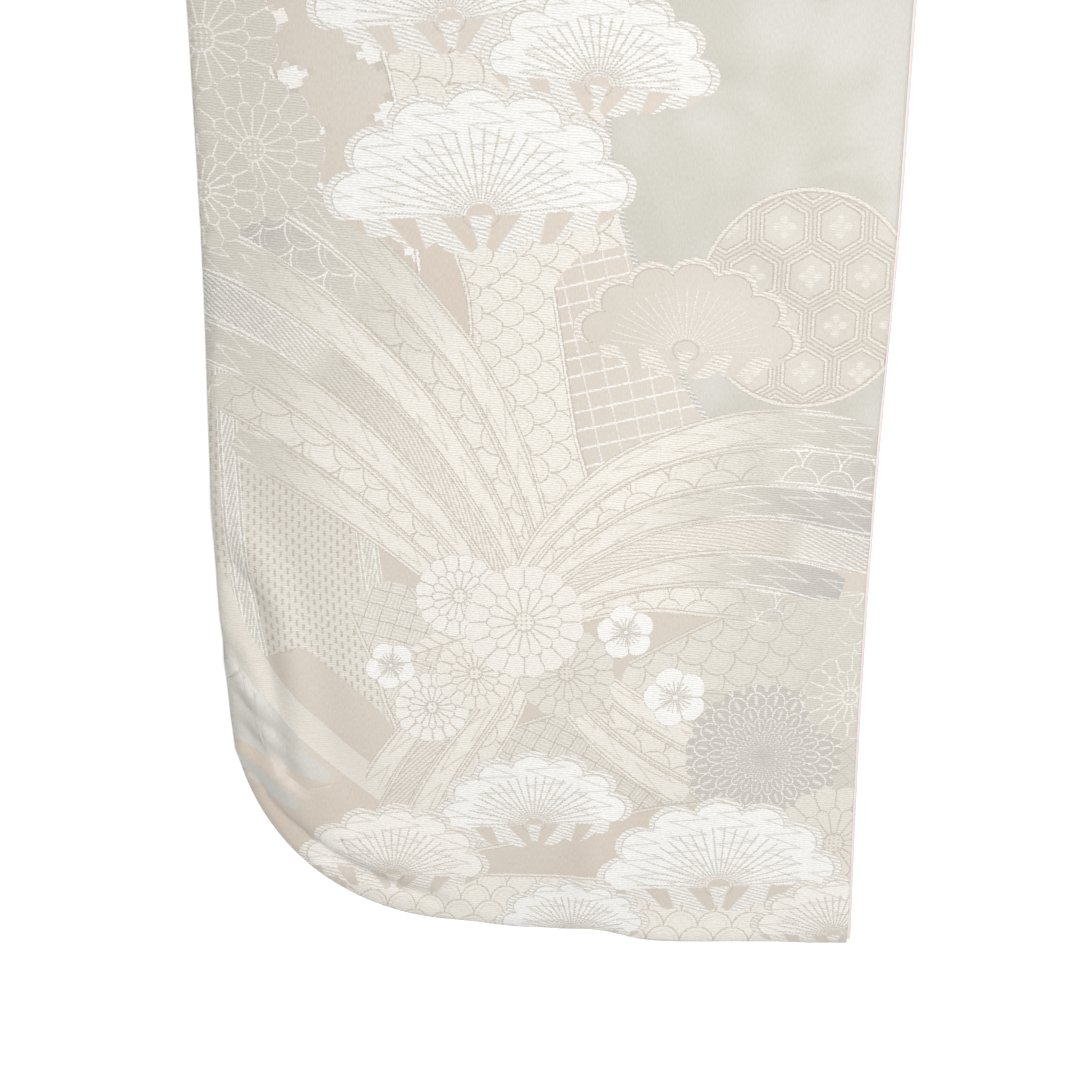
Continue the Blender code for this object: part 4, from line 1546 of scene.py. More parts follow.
def over_the_fold(along, top, low):
    """Height and drop of cloth that runs down one leaf, round the fold and down the other."""
    angle = np.clip(along / TURN_HALF, -1, 1) * np.pi / 2
    radius = (top - low) / 2
    turning = np.abs(along) < TURN_HALF
    height = np.where(turning, low + radius * (1 + np.sin(angle)), np.where(along > 0, top, low))
    drop = np.where(turning, -radius * np.cos(angle), np.abs(along) - TURN_HALF)
    return height, drop


print("the fold takes", round(2 * TURN_HALF * 1000, 2), "mm of cloth")

# %% [markdown]
# ### The sleeve
#
# The panel's outline runs down the upper leaf's open edge, round its sewn one, and back over the
# lower leaf, which is tucked in by 1.2 mm, as a maker turns the seam under. The grid is finest
# where the creases are, fine on the part that is seen closely and coarse underneath.

# %% Sleeve panel
TURN_LINES = (-1, -0.5, 0, 0.5, 1)
EDGE_RINGS = (0.0004, 0.0013, 0.0028, 0.0052)
TUCK, TUCK_START = 0.0012, 0.010
SLEEVE_PITCH = {"seen": 0.0042, "creased": 0.0024, "upper": 0.0075, "under": 0.017}
SEEN_FROM = 0.52
CREASED = (0.855, 1.085, 0.225, 0.355)
OPEN_POINTS, BOTTOM_POINTS, CORNER_POINTS, WRIST_POINTS, TOP_POINTS = 180, 60, 40, 90, 70
SLEEVE_REACH, LEAF_REACH, FOLD_CLEAR, TOP_INSET = 0.36, 1.2, 0.004, 0.0002
SEWN_ROLL, OPEN_ROLL = (0.0021, 0.0062), (0.0006, 0.0022)


def sleeve_leaf(tuck):
    """A leaf's open edge from the top down, then its sewn edge along bottom and wrist."""
    down = np.linspace(0, SLEEVE_LENGTH - tuck, OPEN_POINTS)
    corner = 1 - CORNER_RADIUS / SLEEVE_WIDTH
    round_corner = np.sin(np.linspace(0, np.pi / 2, CORNER_POINTS)) * (1 - corner)
    share = np.concatenate([np.linspace(0, corner, BOTTOM_POINTS)[1:-1], corner + round_corner])
    bottom = bottom_edge(share * SLEEVE_WIDTH) - tuck
    sewn = pairs(sleeve_across(share, bottom) - tuck * (share > 0), bottom)
    up = np.linspace(bottom[-1], 0, WRIST_POINTS)[1:]
    wrist = pairs(sleeve_across(1, up) - tuck * smooth(0, TUCK_START, up), up)
    return pairs(sleeve_across(0, down), down), np.concatenate([sewn, wrist])


def sleeve_panel(side):
    open_edge, sewn_edge = sleeve_leaf(0)
    under_open, under_sewn = sleeve_leaf(TUCK)
    sewn, opening = on_leaf(side, sewn_edge), on_leaf(side, open_edge)
    under = [on_leaf(side, line[::-1], LOWER) for line in (under_sewn, under_open)]
    inwards = -side
    guides = [shifted(sewn, inwards * ring)[2:-2] for ring in EDGE_RINGS]
    guides += [shifted(opening, -inwards * ring)[2:-2] for ring in EDGE_RINGS[:2]]
    fold_across = np.linspace(TOP_INSET, SLEEVE_WIDTH - TOP_INSET, TOP_POINTS)
    guides += [on_panel(side, fold_across, line * TURN_HALF) for line in TURN_LINES]
    edges = [Edge(sewn, *SEWN_ROLL), Edge(opening, *OPEN_ROLL)]

    def place(points):
        across, along = side * points[:, 0], -points[:, 1]
        down = np.maximum(np.abs(along) - TURN_HALF, 0)
        top = sleeve_top_height(side, across, down) - rolled_down(points, edges)
        height, drop = over_the_fold(along, top, WALL / 2)
        return sleeve_place(side, across, drop, height)

    def area(first, last, inner=0.0, outer=SLEEVE_REACH):
        return on_panel(side, *oblong(inner, outer, first, last).T)

    grid = [(area(SEEN_FROM, LEAF_REACH), SLEEVE_PITCH["seen"])]
    grid += [(area(*CREASED), SLEEVE_PITCH["creased"])]
    grid += [(area(FOLD_CLEAR, SEEN_FROM), SLEEVE_PITCH["upper"])]
    grid += [(area(-LEAF_REACH, -FOLD_CLEAR), SLEEVE_PITCH["under"])]
    return Panel(np.concatenate([opening, sewn, *under]), guides, place, edges, grid)


print("points round the sleeve's panel", len(sleeve_panel(LEFT).outline))

# %% [markdown]
# ## The design's rows
#
# A bridal robe's picture is built of clusters: pines like clouds above and along the hem,
# bundles of ribbons tied with a flower, flowers in banks, and roundels. A row places one band,
# bundle or motif, in millimetres across and down, and later rows lie over earlier ones.
# A row that starts with a motif's name is that one motif, and a bank is a line of motifs.

# %% Rows
Band = namedtuple("Band", "fill points widths tones")
Bundle = namedtuple("Bundle", "points pitches fills tones ends")
Spray = namedtuple("Spray", "kind across down size turn tone", defaults=(0, 0.0))
Design = namedtuple("Design", "bands bundles sprays")
RIBBON_POINTS, RIBBON_LEAST, RIBBON_LAP = 7, 6, 0.54
TONE_DRIFT, TONE_TURN = 0.10, 2.4


def ribbons(bundle):
    """Ribbons side by side along one line. pitches is how far apart they are along it."""
    line = smooth_line(mm(bundle.points), STRIP_STEPS)
    side = sideways(line)
    part = np.linspace(0, 1, STRIP_STEPS)
    pitch = evenly(mm(bundle.pitches), part)
    middle = (len(bundle.fills) - 1) / 2
    bands = []
    for place, (fill, end) in enumerate(zip(bundle.fills, bundle.ends)):
        way = line + side * (pitch * (place - middle))[:, None]
        last = max(RIBBON_LEAST, round(end * STRIP_STEPS))
        kept = np.linspace(0, last - 1, RIBBON_POINTS).round().astype(int)
        widths = pitch[kept] * RIBBON_LAP
        tones = evenly(bundle.tones, part[kept] + TONE_DRIFT * math.sin(TONE_TURN * place))
        bands.append((fill, way[kept], widths, tones))
    return bands


def bank(kinds, line, count, sizes, tones=(0.0,), turns=(0, 6, -5)):
    """Motifs spaced along a curve, their kinds, sizes, tones and turns taken in rotation."""
    spots = smooth_line(line, count)
    rows = []
    for place, (across, down) in enumerate(spots):
        kind, size = kinds[place % len(kinds)], sizes[place % len(sizes)]
        turn, tone = turns[place % len(turns)], tones[place % len(tones)]
        rows.append(Spray(kind, across, down, size, turn, tone))
    return rows


print("the middle of three", bank(["plum"], [(0, 0), (100, 0)], 3, (20,))[1])

# %% [markdown]
# ### From rows to figures
#
# A design is written once, in measures of the sleeve or the back. The function that turns those
# into a panel's own right and up comes as an argument, so one design can serve several panels.

# %% Rows to figures
def drawn_on(to_panel, design, turn=0):
    """A design's rows as figures on a panel."""
    bands = [(band.fill, mm(band.points), mm(band.widths), band.tones) for band in design.bands]
    bands += [band for bundle in design.bundles for band in ribbons(bundle)]
    figures = [strip(fill, to_panel(points), *rest) for fill, points, *rest in bands]
    for spray in (Spray(*row) for row in design.sprays):
        kind, size = spray.kind.removesuffix("_plain"), spray.size / 1000
        at = to_panel(mm((spray.across, spray.down)))
        figures.append(motif(kind, at, size, spray.turn + turn, spray.tone, spray.kind))
    return figures


def near(figures, outline):
    """Only the figures that reach the panel."""
    low, high = outline.min(axis=0), outline.max(axis=0)
    return [
        figure
        for figure in figures
        if (figure.outline.max(axis=0) > low).all() and (figure.outline.min(axis=0) < high).all()
    ]


print("later rows lie over earlier ones")

# %% [markdown]
# ### Left sleeve
#
# The picture grows from one knot of flowers in the sleeve's lower half: two wide bundles of
# ribbons arch away from it to both sides and two short ones hang down. Pines stand above it
# and along the bottom, and the corner is left to bare satin, mist and a pale stream, where
# creases catch the light. Formulas could scatter motifs, but a weaver composes by hand.

# %% Left sleeve's design
KNOT = (187, 898)
SEVEN = ("zigzag", "scales", "zigzag", "hatch", "zigzag", "scales", "zigzag")

LEFT_SLEEVE = Design([
    Band("plait", [(0, 110), (120, 160), (350, 140)], (50, 60, 50), (0.4, 0.2)),
    Band("scales", [(0, 360), (140, 340), (350, 330)], (50, 60, 50), (0.3, 0.1)),
    Band("steps", [(300, 420), (230, 470), (130, 470)], (50, 56, 40), (0.1, 0.0)),
    Band("scales", [(250, 570), (172, 690), (172, 800), (190, 905)], (40, 52, 46, 30), (0.25, 0.2)),
    Band("plait", [(340, 545), (302, 640), (268, 740)], (30, 34, 26), (0.5, 0.3)),
    Band("steps", [(304, 545), (276, 630), (256, 730)], (30, 28, 20), (0.1, 0.0)),
    Band("dashes", [(318, 720), (312, 850), (292, 995)], (40, 46, 34), (0.5, 0.3)),
    Band("hatch", [(340.5, 735), (340, 860), (322, 990)], (5, 6), (0.72, 0.6)),
    Band("hatch", [(276, 760), (270, 860), (256, 985)], (5, 6), (0.62, 0.5)),
    Band("lattice", [(142, 700), (122, 790), (100, 890)], (34, 40, 34), (0.1, 0.1)),
    Band("scales", [(-10, 910), (60, 924), (130, 952)], (30, 34, 26), (0.55, 0.3)),
    Band("plait", [(268, 880), (240, 940), (226, 1010)], (18, 26, 20), (0.3, 0.2)),
    Band("plait", [(-10, 985), (100, 975), (200, 1000), (290, 1030)], (30, 36, 36, 26), (0.5, 0.2)),
    Band("scales", [(290, 1062), (200, 1072), (100, 1078), (-10, 1080)], (14, 22, 26),
        (0.25, 0.15)),
    Band("mist", [(-30, 560), (40, 622), (48, 700), (26, 780), (-14, 856)], (80, 108, 84, 62, 40),
        (0.9, 0.75)),
    Band("bare", [(370, 950), (330, 1000), (290, 1060)], (70, 80, 70), (0.0, 0.0)),
    Band("bare", [(362, 905), (338, 935), (303, 972)], (10, 14, 7), (1.0, 0.98)),
    Band("bare", [(366, 944), (340, 962), (296, 992)], (10, 10, 4), (0.98, 1.0)),
    Band("bare", [(362, 975), (344, 985), (314, 1008)], (6, 6, 4.5), (1.0, 1.0)),
    Band("stream", [(352, 870), (338, 918), (296, 972), (236, 1022)], (4, 6.5, 7.5, 8), (0.3, 0.2)),
], [
    Bundle([KNOT, (214, 846), (258, 788), (318, 738), (368, 716)], (5.5, 12, 17.5, 21, 23), SEVEN,
        (0.2, 0.2, 0.2, 0.55, 0.95), (1.0, 1.0, 0.97, 1.0, 0.94, 0.82, 0.7)),
    Bundle([KNOT, (156, 868), (108, 846), (50, 842), (-12, 856)], (5.5, 11, 17, 20, 21.5),
        SEVEN[1:], (0.2, 0.2, 0.2, 0.6, 0.95), (0.8, 0.93, 1.0, 1.0, 1.0, 0.9)),
    Bundle([KNOT, (206, 940), (238, 985), (262, 1030)], (5, 11, 15, 16.5), SEVEN[2:6],
        (0.2, 0.2, 0.25, 0.4), (0.86, 1.0, 0.93, 0.8)),
    Bundle([KNOT, (160, 935), (122, 970), (78, 996)], (5, 11, 15, 16.5), SEVEN[:3],
        (0.2, 0.2, 0.25, 0.3), (0.92, 1.0, 0.88)),
], [
    *bank(["pine", "pine_plain"], [(40, 60), (140, 130), (260, 100)], 4, (70, 84)),
    *bank(["pine"], [(330, 190), (240, 220), (150, 250)], 3, (66, 80)),
    ("roundel", 60, 240, 60, 0, 0.25),
    *bank(["mum", "leaf", "mum"], [(20, 320), (110, 330), (200, 310)], 6, (42, 34, 30),
        (0.2, 0.4, 0.53), (0, 30, 70)),
    ("fan", 272, 400, 100, -16, 0.1),
    *bank(["pine_plain", "pine"], [(20, 410), (110, 430)], 2, (70, 80)),
    ("dahlia", 190, 440, 44, 0, 0.6),
    *bank(["mum", "plum", "leaf"], [(320, 460), (250, 500), (170, 510)], 6, (36, 20, 30),
        (0.1, 0.0, 0.4), (0, 50, 110)),
    ("pine", 222, 592, 70, 4), ("pine", 150, 622, 60, -6),
    ("roundel", 44, 726, 56, 0, 0.3), ("pine", 208, 684, 80, 2),
    ("pine_plain", 104, 752, 60, -5, 0.2), ("leaf", 322, 668, 30, 40, 0.53),
    ("mum", 342, 600, 38, 0, 0.53), ("mum", 320, 652, 36, 8, 0.53),
    ("mum", 347, 672, 29, 0, 0.56), ("leaf", 228, 912, 26, 20, 0.2),
    ("leaf", 150, 938, 26, -60, 0.3), ("mum", 238, 950, 21, 0, 0.1),
    ("plum", 260, 925, 14, 10), ("mum", 222, 885, 24, 0, 0.1),
    ("mum", 164, 930, 27, 5, 0.35), ("mum", 214, 930, 22, 0, 0.2),
    ("plum", 132, 906, 16, -8), ("mum", 187, 900, 33, 0, 0.15),
    ("dahlia", 54, 980, 44, 0, 0.75), ("plum", 104, 944, 18),
    ("mum", 8, 944, 26, 0, 0.53), ("mum", 12, 1034, 36, 0, 0.35),
    ("pine", 182, 1022, 58, 3), ("pine", 262, 1052, 56, -4, 0.1),
    ("pine", 76, 1062, 72, 2), ("pine", 8, 1094, 50, 0, 0.1), ("pine", 160, 1092, 46),
])
print("left sleeve's rows", list(map(len, LEFT_SLEEVE)))

# %% [markdown]
# ### Right sleeve
#
# The right sleeve answers the left one with the same motifs in another order, its knot higher.
# The lower leaf of each sleeve carries the other's design, since it is hardly seen.

# %% Right sleeve's design
TIE = (150, 610)

RIGHT_SLEEVE = Design([
    Band("bare", [(340, 560), (220, 600), (100, 540)], (60, 70, 40), (0.9, 0.7)),
    Band("bare", [(0, 880), (140, 930), (300, 900)], (40, 60, 50), (0.7, 0.9)),
    Band("scales", [(350, 140), (180, 180), (0, 150)], (50, 60, 50), (0.3, 0.1)),
    Band("plait", [(0, 330), (150, 310), (350, 340)], (50, 50, 40), (0.4, 0.2)),
    Band("dashes", [(40, 420), (50, 560), (30, 700)], (40, 46, 36), (0.4, 0.3)),
    Band("plait", [(300, 420), (290, 540), (310, 660)], (44, 40, 44), (0.4, 0.2)),
    Band("scales", [(160, 660), (180, 780), (160, 900)], (40, 60, 50), (0.2, 0.1)),
    Band("steps", [(300, 740), (270, 820), (290, 900)], (36, 32, 36), (0.1, 0.0)),
    Band("lattice", [(60, 760), (70, 850), (56, 930)], (40, 46, 34), (0.0, 0.0)),
    Band("plait", [(0, 1010), (120, 990), (240, 1020), (330, 990)], (34, 36, 34), (0.3, 0.2)),
    Band("mist", [(356, 700), (240, 690), (120, 730), (-10, 720)], (13, 16, 11), (0.0, 0.0)),
], [
    Bundle([TIE, (190, 560), (240, 500), (300, 470), (368, 466)], (5.5, 12, 17.5, 20), SEVEN,
        (0, 0, 0.2, 0.9), (1.0, 0.9, 1.0, 1.0, 0.94, 0.8, 0.7)),
    Bundle([TIE, (110, 570), (60, 540), (-12, 536)], (5.5, 11, 16, 19), SEVEN[:5], (0, 0, 0.3, 0.9),
        (0.8, 1.0, 1.0, 0.9, 0.8)),
    Bundle([TIE, (180, 680), (236, 740), (250, 830), (226, 930)], (5.5, 12, 16, 18), SEVEN[1:6],
        (0, 0, 0.2, 0.8), (0.9, 1.0, 0.95, 0.86, 0.7)),
    Bundle([TIE, (126, 680), (110, 760), (120, 850)], (5, 11, 15, 16.5), SEVEN[:3],
        (0, 0, 0.1, 0.5), (0.92, 1.0, 0.88)),
], [
    *bank(["pine", "pine_plain"], [(330, 60), (220, 120), (80, 100)], 4, (74, 84)),
    *bank(["pine"], [(20, 200), (110, 240), (210, 230)], 3, (70, 84)),
    *bank(["mum", "dahlia", "leaf"], [(330, 220), (260, 290), (160, 310)], 5, (44, 48, 36),
        (0.53, 0.6, 0.3)),
    ("fan", 250, 400, 90, -16, 0.1), ("roundel", 84, 380, 50, 0, 0.25),
    *bank(["mum", "leaf", "mum"], [(20, 450), (160, 440), (320, 350)], 8, (30, 26, 36),
        (0.53, 0.3, 0.1), (0, 60, 20)),
    *bank(["mum", "leaf", "plum"], [(110, 640), (150, 660), (200, 620)], 4, (24, 26, 18),
        (0.1, 0.4, 0.0), (0, 60, 20)),
    ("mum", *TIE, 34), ("dahlia", 300, 880, 46, 0, 0.7),
    ("roundel", 30, 870, 46, 0, 0.3),
    *bank(["mum", "plum"], [(70, 945), (150, 930), (230, 960)], 5, (30, 20), (0.3, 0.0, 0.53)),
    *bank(["pine"], [(290, 985), (170, 995), (30, 1000)], 4, (58, 66, 54)),
    *bank(["pine", "pine_plain"], [(250, 1062), (130, 1068), (0, 1070)], 4, (56, 66)),
])
print("right sleeve's rows", list(map(len, RIGHT_SLEEVE)))

# %% [markdown]
# ### Back and fronts
#
# The whole back is one picture, measured out from the centre seam and down from the shoulder.
# The same rows serve the fronts, where they run on from the front panel over its overlap.

# %% Body's design
BOW = (20, 640)

BODY = Design([
    Band("bare", [(-340, 150), (-150, 200), (60, 140)], (36, 50, 30), (0.9, 0.7)),
    Band("bare", [(340, 270), (200, 310), (20, 290)], (40, 50, 30), (0.9, 0.7)),
    Band("bare", [(-340, 540), (-200, 660), (-100, 800)], (60, 80, 50), (0.7, 0.9)),
    Band("bare", [(60, 1120), (200, 1260), (340, 1240)], (40, 50, 40), (0.9, 0.6)),
    Band("bare", [(-200, 1420), (-60, 1460), (120, 1420)], (30, 40, 30), (0.8, 0.9)),
    Band("scales", [(-340, 420), (-200, 400), (-50, 480)], (70, 80, 50), (0.2, 0.1)),
    Band("plait", [(340, 400), (230, 460), (100, 500)], (70, 70, 50), (0.4, 0.2)),
    Band("dashes", [(-260, 640), (-240, 800), (-270, 960)], (70, 80, 60), (0.5, 0.3)),
    Band("steps", [(250, 600), (230, 760), (270, 900)], (60, 66, 60), (0.1, 0.0)),
    Band("lattice", [(-80, 740), (-60, 880), (-90, 1020)], (44, 56, 44), (0.0, 0.0)),
    Band("scales", [(40, 860), (100, 1020), (60, 1180)], (60, 80, 60), (0.3, 0.1)),
    Band("plait", [(-340, 1100), (-160, 1120), (0, 1230)], (70, 80, 60), (0.4, 0.2)),
    Band("dashes", [(270, 1020), (250, 1180), (290, 1380)], (60, 70, 60), (0.5, 0.3)),
    Band("hatch", [(-340, 1330), (-180, 1370), (-20, 1330)], (50, 60, 40), (0.2, 0.1)),
    Band("scales", [(-340, 1520), (-100, 1640), (100, 1680), (340, 1760)], (80, 80, 70),
        (0.3, 0.1)),
    Band("lattice", [(60, 1300), (150, 1380), (240, 1460)], (50, 56, 44), (0.0, 0.0)),
    Band("plait", [(340, 1560), (180, 1560), (60, 1500)], (60, 60, 40), (0.5, 0.3)),
    Band("mist", [(-340, 300), (-160, 390), (60, 340), (340, 300)], (18, 26, 16), (0.3, 0.0)),
    Band("mist", [(-340, 1200), (-120, 1280), (120, 1240), (340, 1200)], (16, 26, 18), (0.3, 0.0)),
    Band("mist", [(-340, 1640), (-160, 1700), (20, 1780), (200, 1840)], (18, 22, 16), (0.3, 0.0)),
], [
    Bundle([BOW, (-40, 590), (-120, 560), (-220, 580), (-340, 560)], (7, 15, 20, 24), SEVEN,
        (0, 0, 0.2, 0.9), (1.0, 1.0, 1.0, 0.94, 1.0, 0.9, 0.8)),
    Bundle([BOW, (80, 590), (150, 540), (240, 530), (345, 560)], (7, 15, 20, 24), SEVEN[:6],
        (0, 0, 0.3, 0.9), (0.9, 1.0, 1.0, 1.0, 0.9, 0.8)),
    Bundle([BOW, (-30, 740), (-140, 840), (-190, 980), (-150, 1120)], (7, 14, 19, 22), SEVEN[1:6],
        (0, 0, 0.2, 0.8), (0.9, 1.0, 1.0, 0.92, 0.8)),
    Bundle([BOW, (60, 740), (150, 820), (180, 960), (130, 1100), (160, 1230)], (7, 14, 19, 22),
        SEVEN, (0, 0, 0.3, 0.9), (0.8, 0.9, 1.0, 0.96, 1.0, 0.9, 0.8)),
], [
    *bank(["pine", "pine_plain"], [(-330, 50), (-200, 140), (-60, 100)], 4, (84, 72)),
    *bank(["pine"], [(-280, 270), (-190, 215), (-60, 190), (50, 230)], 5, (80, 92, 70)),
    *bank(["pine", "pine_plain"], [(60, 70), (200, 50), (320, 120)], 4, (70, 84)),
    *bank(["pine"], [(180, 190), (280, 260)], 2, (94, 78)),
    ("roundel", -240, 370, 66, 0, 0.3), ("roundel", 150, 340, 74, 0, 0.25),
    *bank(["mum", "leaf", "mum", "plum"], [(-170, 400), (-80, 360), (0, 420), (60, 400)], 7,
        (44, 34, 36, 26), (0.53, 0.3, 0.1, 0.0), (0, 60, 20)),
    *bank(["mum", "leaf", "mum"], [(230, 400), (330, 350)], 4, (46, 34, 34), (0.53, 0.3, 0.1),
        (0, 60, 20)),
    ("fan", -250, 740, 120, 18, 0.1), ("fan", 250, 760, 120, -14, 0.1),
    *bank(["mum", "plum", "leaf"], [(-60, 690), (20, 720), (90, 680)], 6, (34, 24, 36),
        (0.1, 0.0, 0.4), (0, 60, 20)),
    ("mum", *BOW, 50), ("dahlia", 40, 860, 62, 0, 0.7),
    *bank(["mum", "leaf", "plum"], [(-20, 900), (40, 940), (110, 920)], 5, (40, 34, 26),
        (0.53, 0.4, 0.0), (0, 60, 20)),
    ("roundel", -40, 1080, 76, 0, 0.3), ("dahlia", -270, 980, 60, 0, 0.6),
    *bank(["pine", "pine_plain"], [(-330, 1050), (-230, 1110), (-130, 1170)], 3, (76, 66)),
    *bank(["mum", "leaf", "plum"], [(-320, 1140), (-180, 1200), (-40, 1200)], 6, (42, 34, 26),
        (0.1, 0.4, 0.0), (0, 60, 20)),
    ("fan", 240, 1120, 120, 20, 0.1),
    *bank(["plum", "mum", "leaf"], [(60, 1200), (180, 1220), (320, 1160)], 7, (28, 44, 36),
        (0.0, 0.53, 0.3), (0, 60, 20)),
    *bank(["pine", "pine", "pine_plain"], [(320, 1290), (200, 1340), (60, 1330), (-60, 1400)], 6,
        (84, 98, 74)),
    *bank(["mum", "dahlia", "mum", "leaf"], [(-320, 1320), (-240, 1380), (-140, 1370)], 4,
        (52, 62, 40, 36), (0.53, 0.65, 0.1, 0.4), (0, 60, 20)),
    *bank(["pine", "pine_plain", "pine"], [(-320, 1480), (-180, 1500), (-40, 1570), (80, 1560)], 6,
        (90, 100, 78)),
    ("roundel", 240, 1500, 80, 0, 0.3),
    *bank(["mum", "leaf", "plum", "mum"], [(120, 1500), (220, 1590), (330, 1580)], 6, (44, 36, 28),
        (0.53, 0.4, 0.0, 0.1), (0, 60, 20)),
    *bank(["mum", "leaf", "dahlia"], [(-310, 1590), (-200, 1620), (-80, 1680)], 5, (48, 38, 56),
        (0.1, 0.3, 0.65), (0, 60, 20)),
    *bank(["pine"], [(320, 1680), (200, 1690), (80, 1680)], 4, (90, 104, 84)),
    *bank(["pine", "pine_plain"], [(-310, 1740), (-190, 1760), (-60, 1790)], 4, (92, 80)),
    *bank(["mum", "plum"], [(-10, 1720), (60, 1780), (160, 1790)], 4, (46, 28), (0.53, 0.0)),
    *bank(["pine"], [(60, 1840), (180, 1820), (310, 1800)], 4, (76, 86)),
    *bank(["pine"], [(-260, 1830), (-120, 1850)], 2, (74, 80)),
])
print("the back's rows", list(map(len, BODY)))

# %% [markdown]
# ### Collar
#
# The collar shows above the neck as a narrow band, so a row of small flowers and one of small
# pines, cut off by its edges as on real cloth, is enough.

# %% Collar's design
COLLAR = Design([], [], [
    *bank(["mum", "plum"], [(-80, -8), (0, -20), (80, -8)], 5, (20, 13), (0.53, 0.0)),
    *bank(["pine"], [(-68, 12), (0, 8), (68, 12)], 4, (30, 34)),
])
print("the collar's motifs", len(COLLAR.sprays))

# %% [markdown]
# ## Dressing the robe
#
# Every panel rides on the robe's one body and stands for its solid, whose part is hidden. Its
# cut, the box round its outline, turned first where the strip lies aslant, is printed with its
# area.

# %% Cloth in place
def laid(piece, node, panel, slant=0.0):
    """The cloth rides on the body and stands for its solid, which is hidden; prints its cut, the
    box round its outline.
    """
    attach(piece, "root")
    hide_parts(node)
    sine, cosine = math.sin(slant), math.cos(slant)
    upright_outline = panel.outline @ np.array([[cosine, -sine], [sine, cosine]])
    cut, area = np.ptp(upright_outline, axis=0).tolist(), abs(ring_area(panel.outline))
    print(piece.name, "cut", [round(length, 3) for length in cut], "area", round(area, 4))
    return piece


def both_leaves(to_panel, upper, under, outline):
    """One design on the upper leaf and another on the lower, where up is the other way."""
    figures = drawn_on(to_panel, upper)
    figures += drawn_on(lambda spots: to_panel(spots) * (1, -1), under, 180)
    return near(figures, outline)


for side, word, upper, under in (
    (LEFT, "left", LEFT_SLEEVE, RIGHT_SLEEVE),
    (RIGHT, "right", RIGHT_SLEEVE, LEFT_SLEEVE),
):
    panel = sleeve_panel(side)
    figures = both_leaves(lambda spots: on_leaf(side, spots), upper, under, panel.outline)
    laid(add_cloth(f"sleeve_{word}_brocade", panel, figures), f"sleeve_{word}", panel)

# %% [markdown]
# ## The body
#
# Each side is one width of cloth from the back hem over the shoulder to the front hem. The two
# backs meet at the centre seam, so a figure that crosses it is cut into both panels, from one
# list of places across the whole back.

# %% Body panel
BACK_PITCH, FRONT_PITCH = 0.0065, 0.014
SEAM_RINGS = (0.0006, 0.0018, 0.0036)
BACK_END = BACK_ROLL_DROP - HEM_REACH
NECK_POINTS, CENTRE_POINTS, SIDE_POINTS, FRONT_POINTS, SHOULDER_POINTS = 26, 220, 260, 130, 50
BODY_REACH, HALF_REACH, SHOULDER_INSET = 0.34, 1.9, 0.0004
SIDE_ROLL, CENTRE_ROLL = (0.0007, 0.0040), (0.0007, 0.0030)


def body_panel(side, front_height, hem):
    front_end = hem - HEM_REACH
    turn = np.linspace(0, np.pi / 2, NECK_POINTS)
    neck = pairs(NECK_HALF * np.cos(turn), NECK_DEPTH * np.sin(turn))
    neck[-1, 0] = GAP / 2
    centre = pairs(GAP / 2, np.linspace(NECK_DEPTH, BACK_END, CENTRE_POINTS)[1:])
    side_drop = np.linspace(BACK_END, 0, SIDE_POINTS)
    seam = pairs(side_edge(side_drop), side_drop)
    front_drop = np.linspace(0, front_end, FRONT_POINTS)
    tuck = TUCK * smooth(0, TUCK_START, front_drop)
    front_seam = pairs(side_edge(front_drop) - tuck, front_drop)
    inner = pairs(front_edge(front_drop), front_drop)[::-1]
    neck_line, centre_line, side_line = (on_leaf(side, line) for line in (neck, centre, seam))
    front = [on_leaf(side, line, LOWER) for line in (front_seam, inner)]
    guides = [shifted(side_line, side * ring)[3:-2] for ring in EDGE_RINGS[1:]]
    guides += [shifted(centre_line, side * ring)[3:-3] for ring in SEAM_RINGS]
    shoulder = NECK_HALF + SHOULDER_INSET, side_edge(0) - SHOULDER_INSET
    fold_across = np.linspace(*shoulder, SHOULDER_POINTS)
    guides += [on_panel(side, fold_across, line * TURN_HALF) for line in TURN_LINES]
    edges = [Edge(side_line, *SIDE_ROLL), Edge(centre_line, *CENTRE_ROLL)]

    def place(points):
        across, along = side * points[:, 0], -points[:, 1]
        drop = np.maximum(np.abs(along) - TURN_HALF, 0)
        top = back_height(side, across, drop) - rolled_down(points, edges)
        height, turned_drop = over_the_fold(along, top, front_height(side * across, drop))
        return body_place(side, across, turned_drop, height)

    def area(first, last):
        return on_panel(side, *oblong(0, BODY_REACH, first, last).T)

    grid = [(area(FOLD_CLEAR, HALF_REACH), BACK_PITCH)]
    grid += [(area(-HALF_REACH, -FOLD_CLEAR), FRONT_PITCH)]
    outline = np.concatenate([neck_line, centre_line, side_line, *front])
    return Panel(outline, guides, place, edges, grid)


def on_back(spots):
    """Places on the whole back, as across and drop, to the body panels' right and up."""
    return on_leaf(RIGHT, spots)


print("the centre seam's foot on the panel", on_back((0, BACK_END)).round(3))

# %% Both sides of the body
SIDES = (
    (LEFT, "left", left_front_height, LEFT_ROLL_DROP),
    (RIGHT, "right", right_front_height, RIGHT_ROLL_DROP),
)
for side, word, front_height, hem in SIDES:
    panel = body_panel(side, front_height, hem)
    figures = both_leaves(on_back, BODY, BODY, panel.outline)
    laid(add_cloth(f"body_{word}_brocade", panel, figures), f"body_{word}", panel)

# %% [markdown]
# ### Overlap panels and collar
#
# A tapering panel is sewn down each front's inner edge, and the collar runs along both, from
# one front over the neck to the other. They lie under the back with their right side down, so
# their flat coordinates are right and down.

# %% Front panels
def between(inner, outer, first, last, rows):
    """The ring between two edges, each a distance across that depends on the drop."""
    drops = np.linspace(first, last, rows)
    return np.concatenate([pairs(inner(drops), drops), pairs(outer(drops), drops)[::-1]])


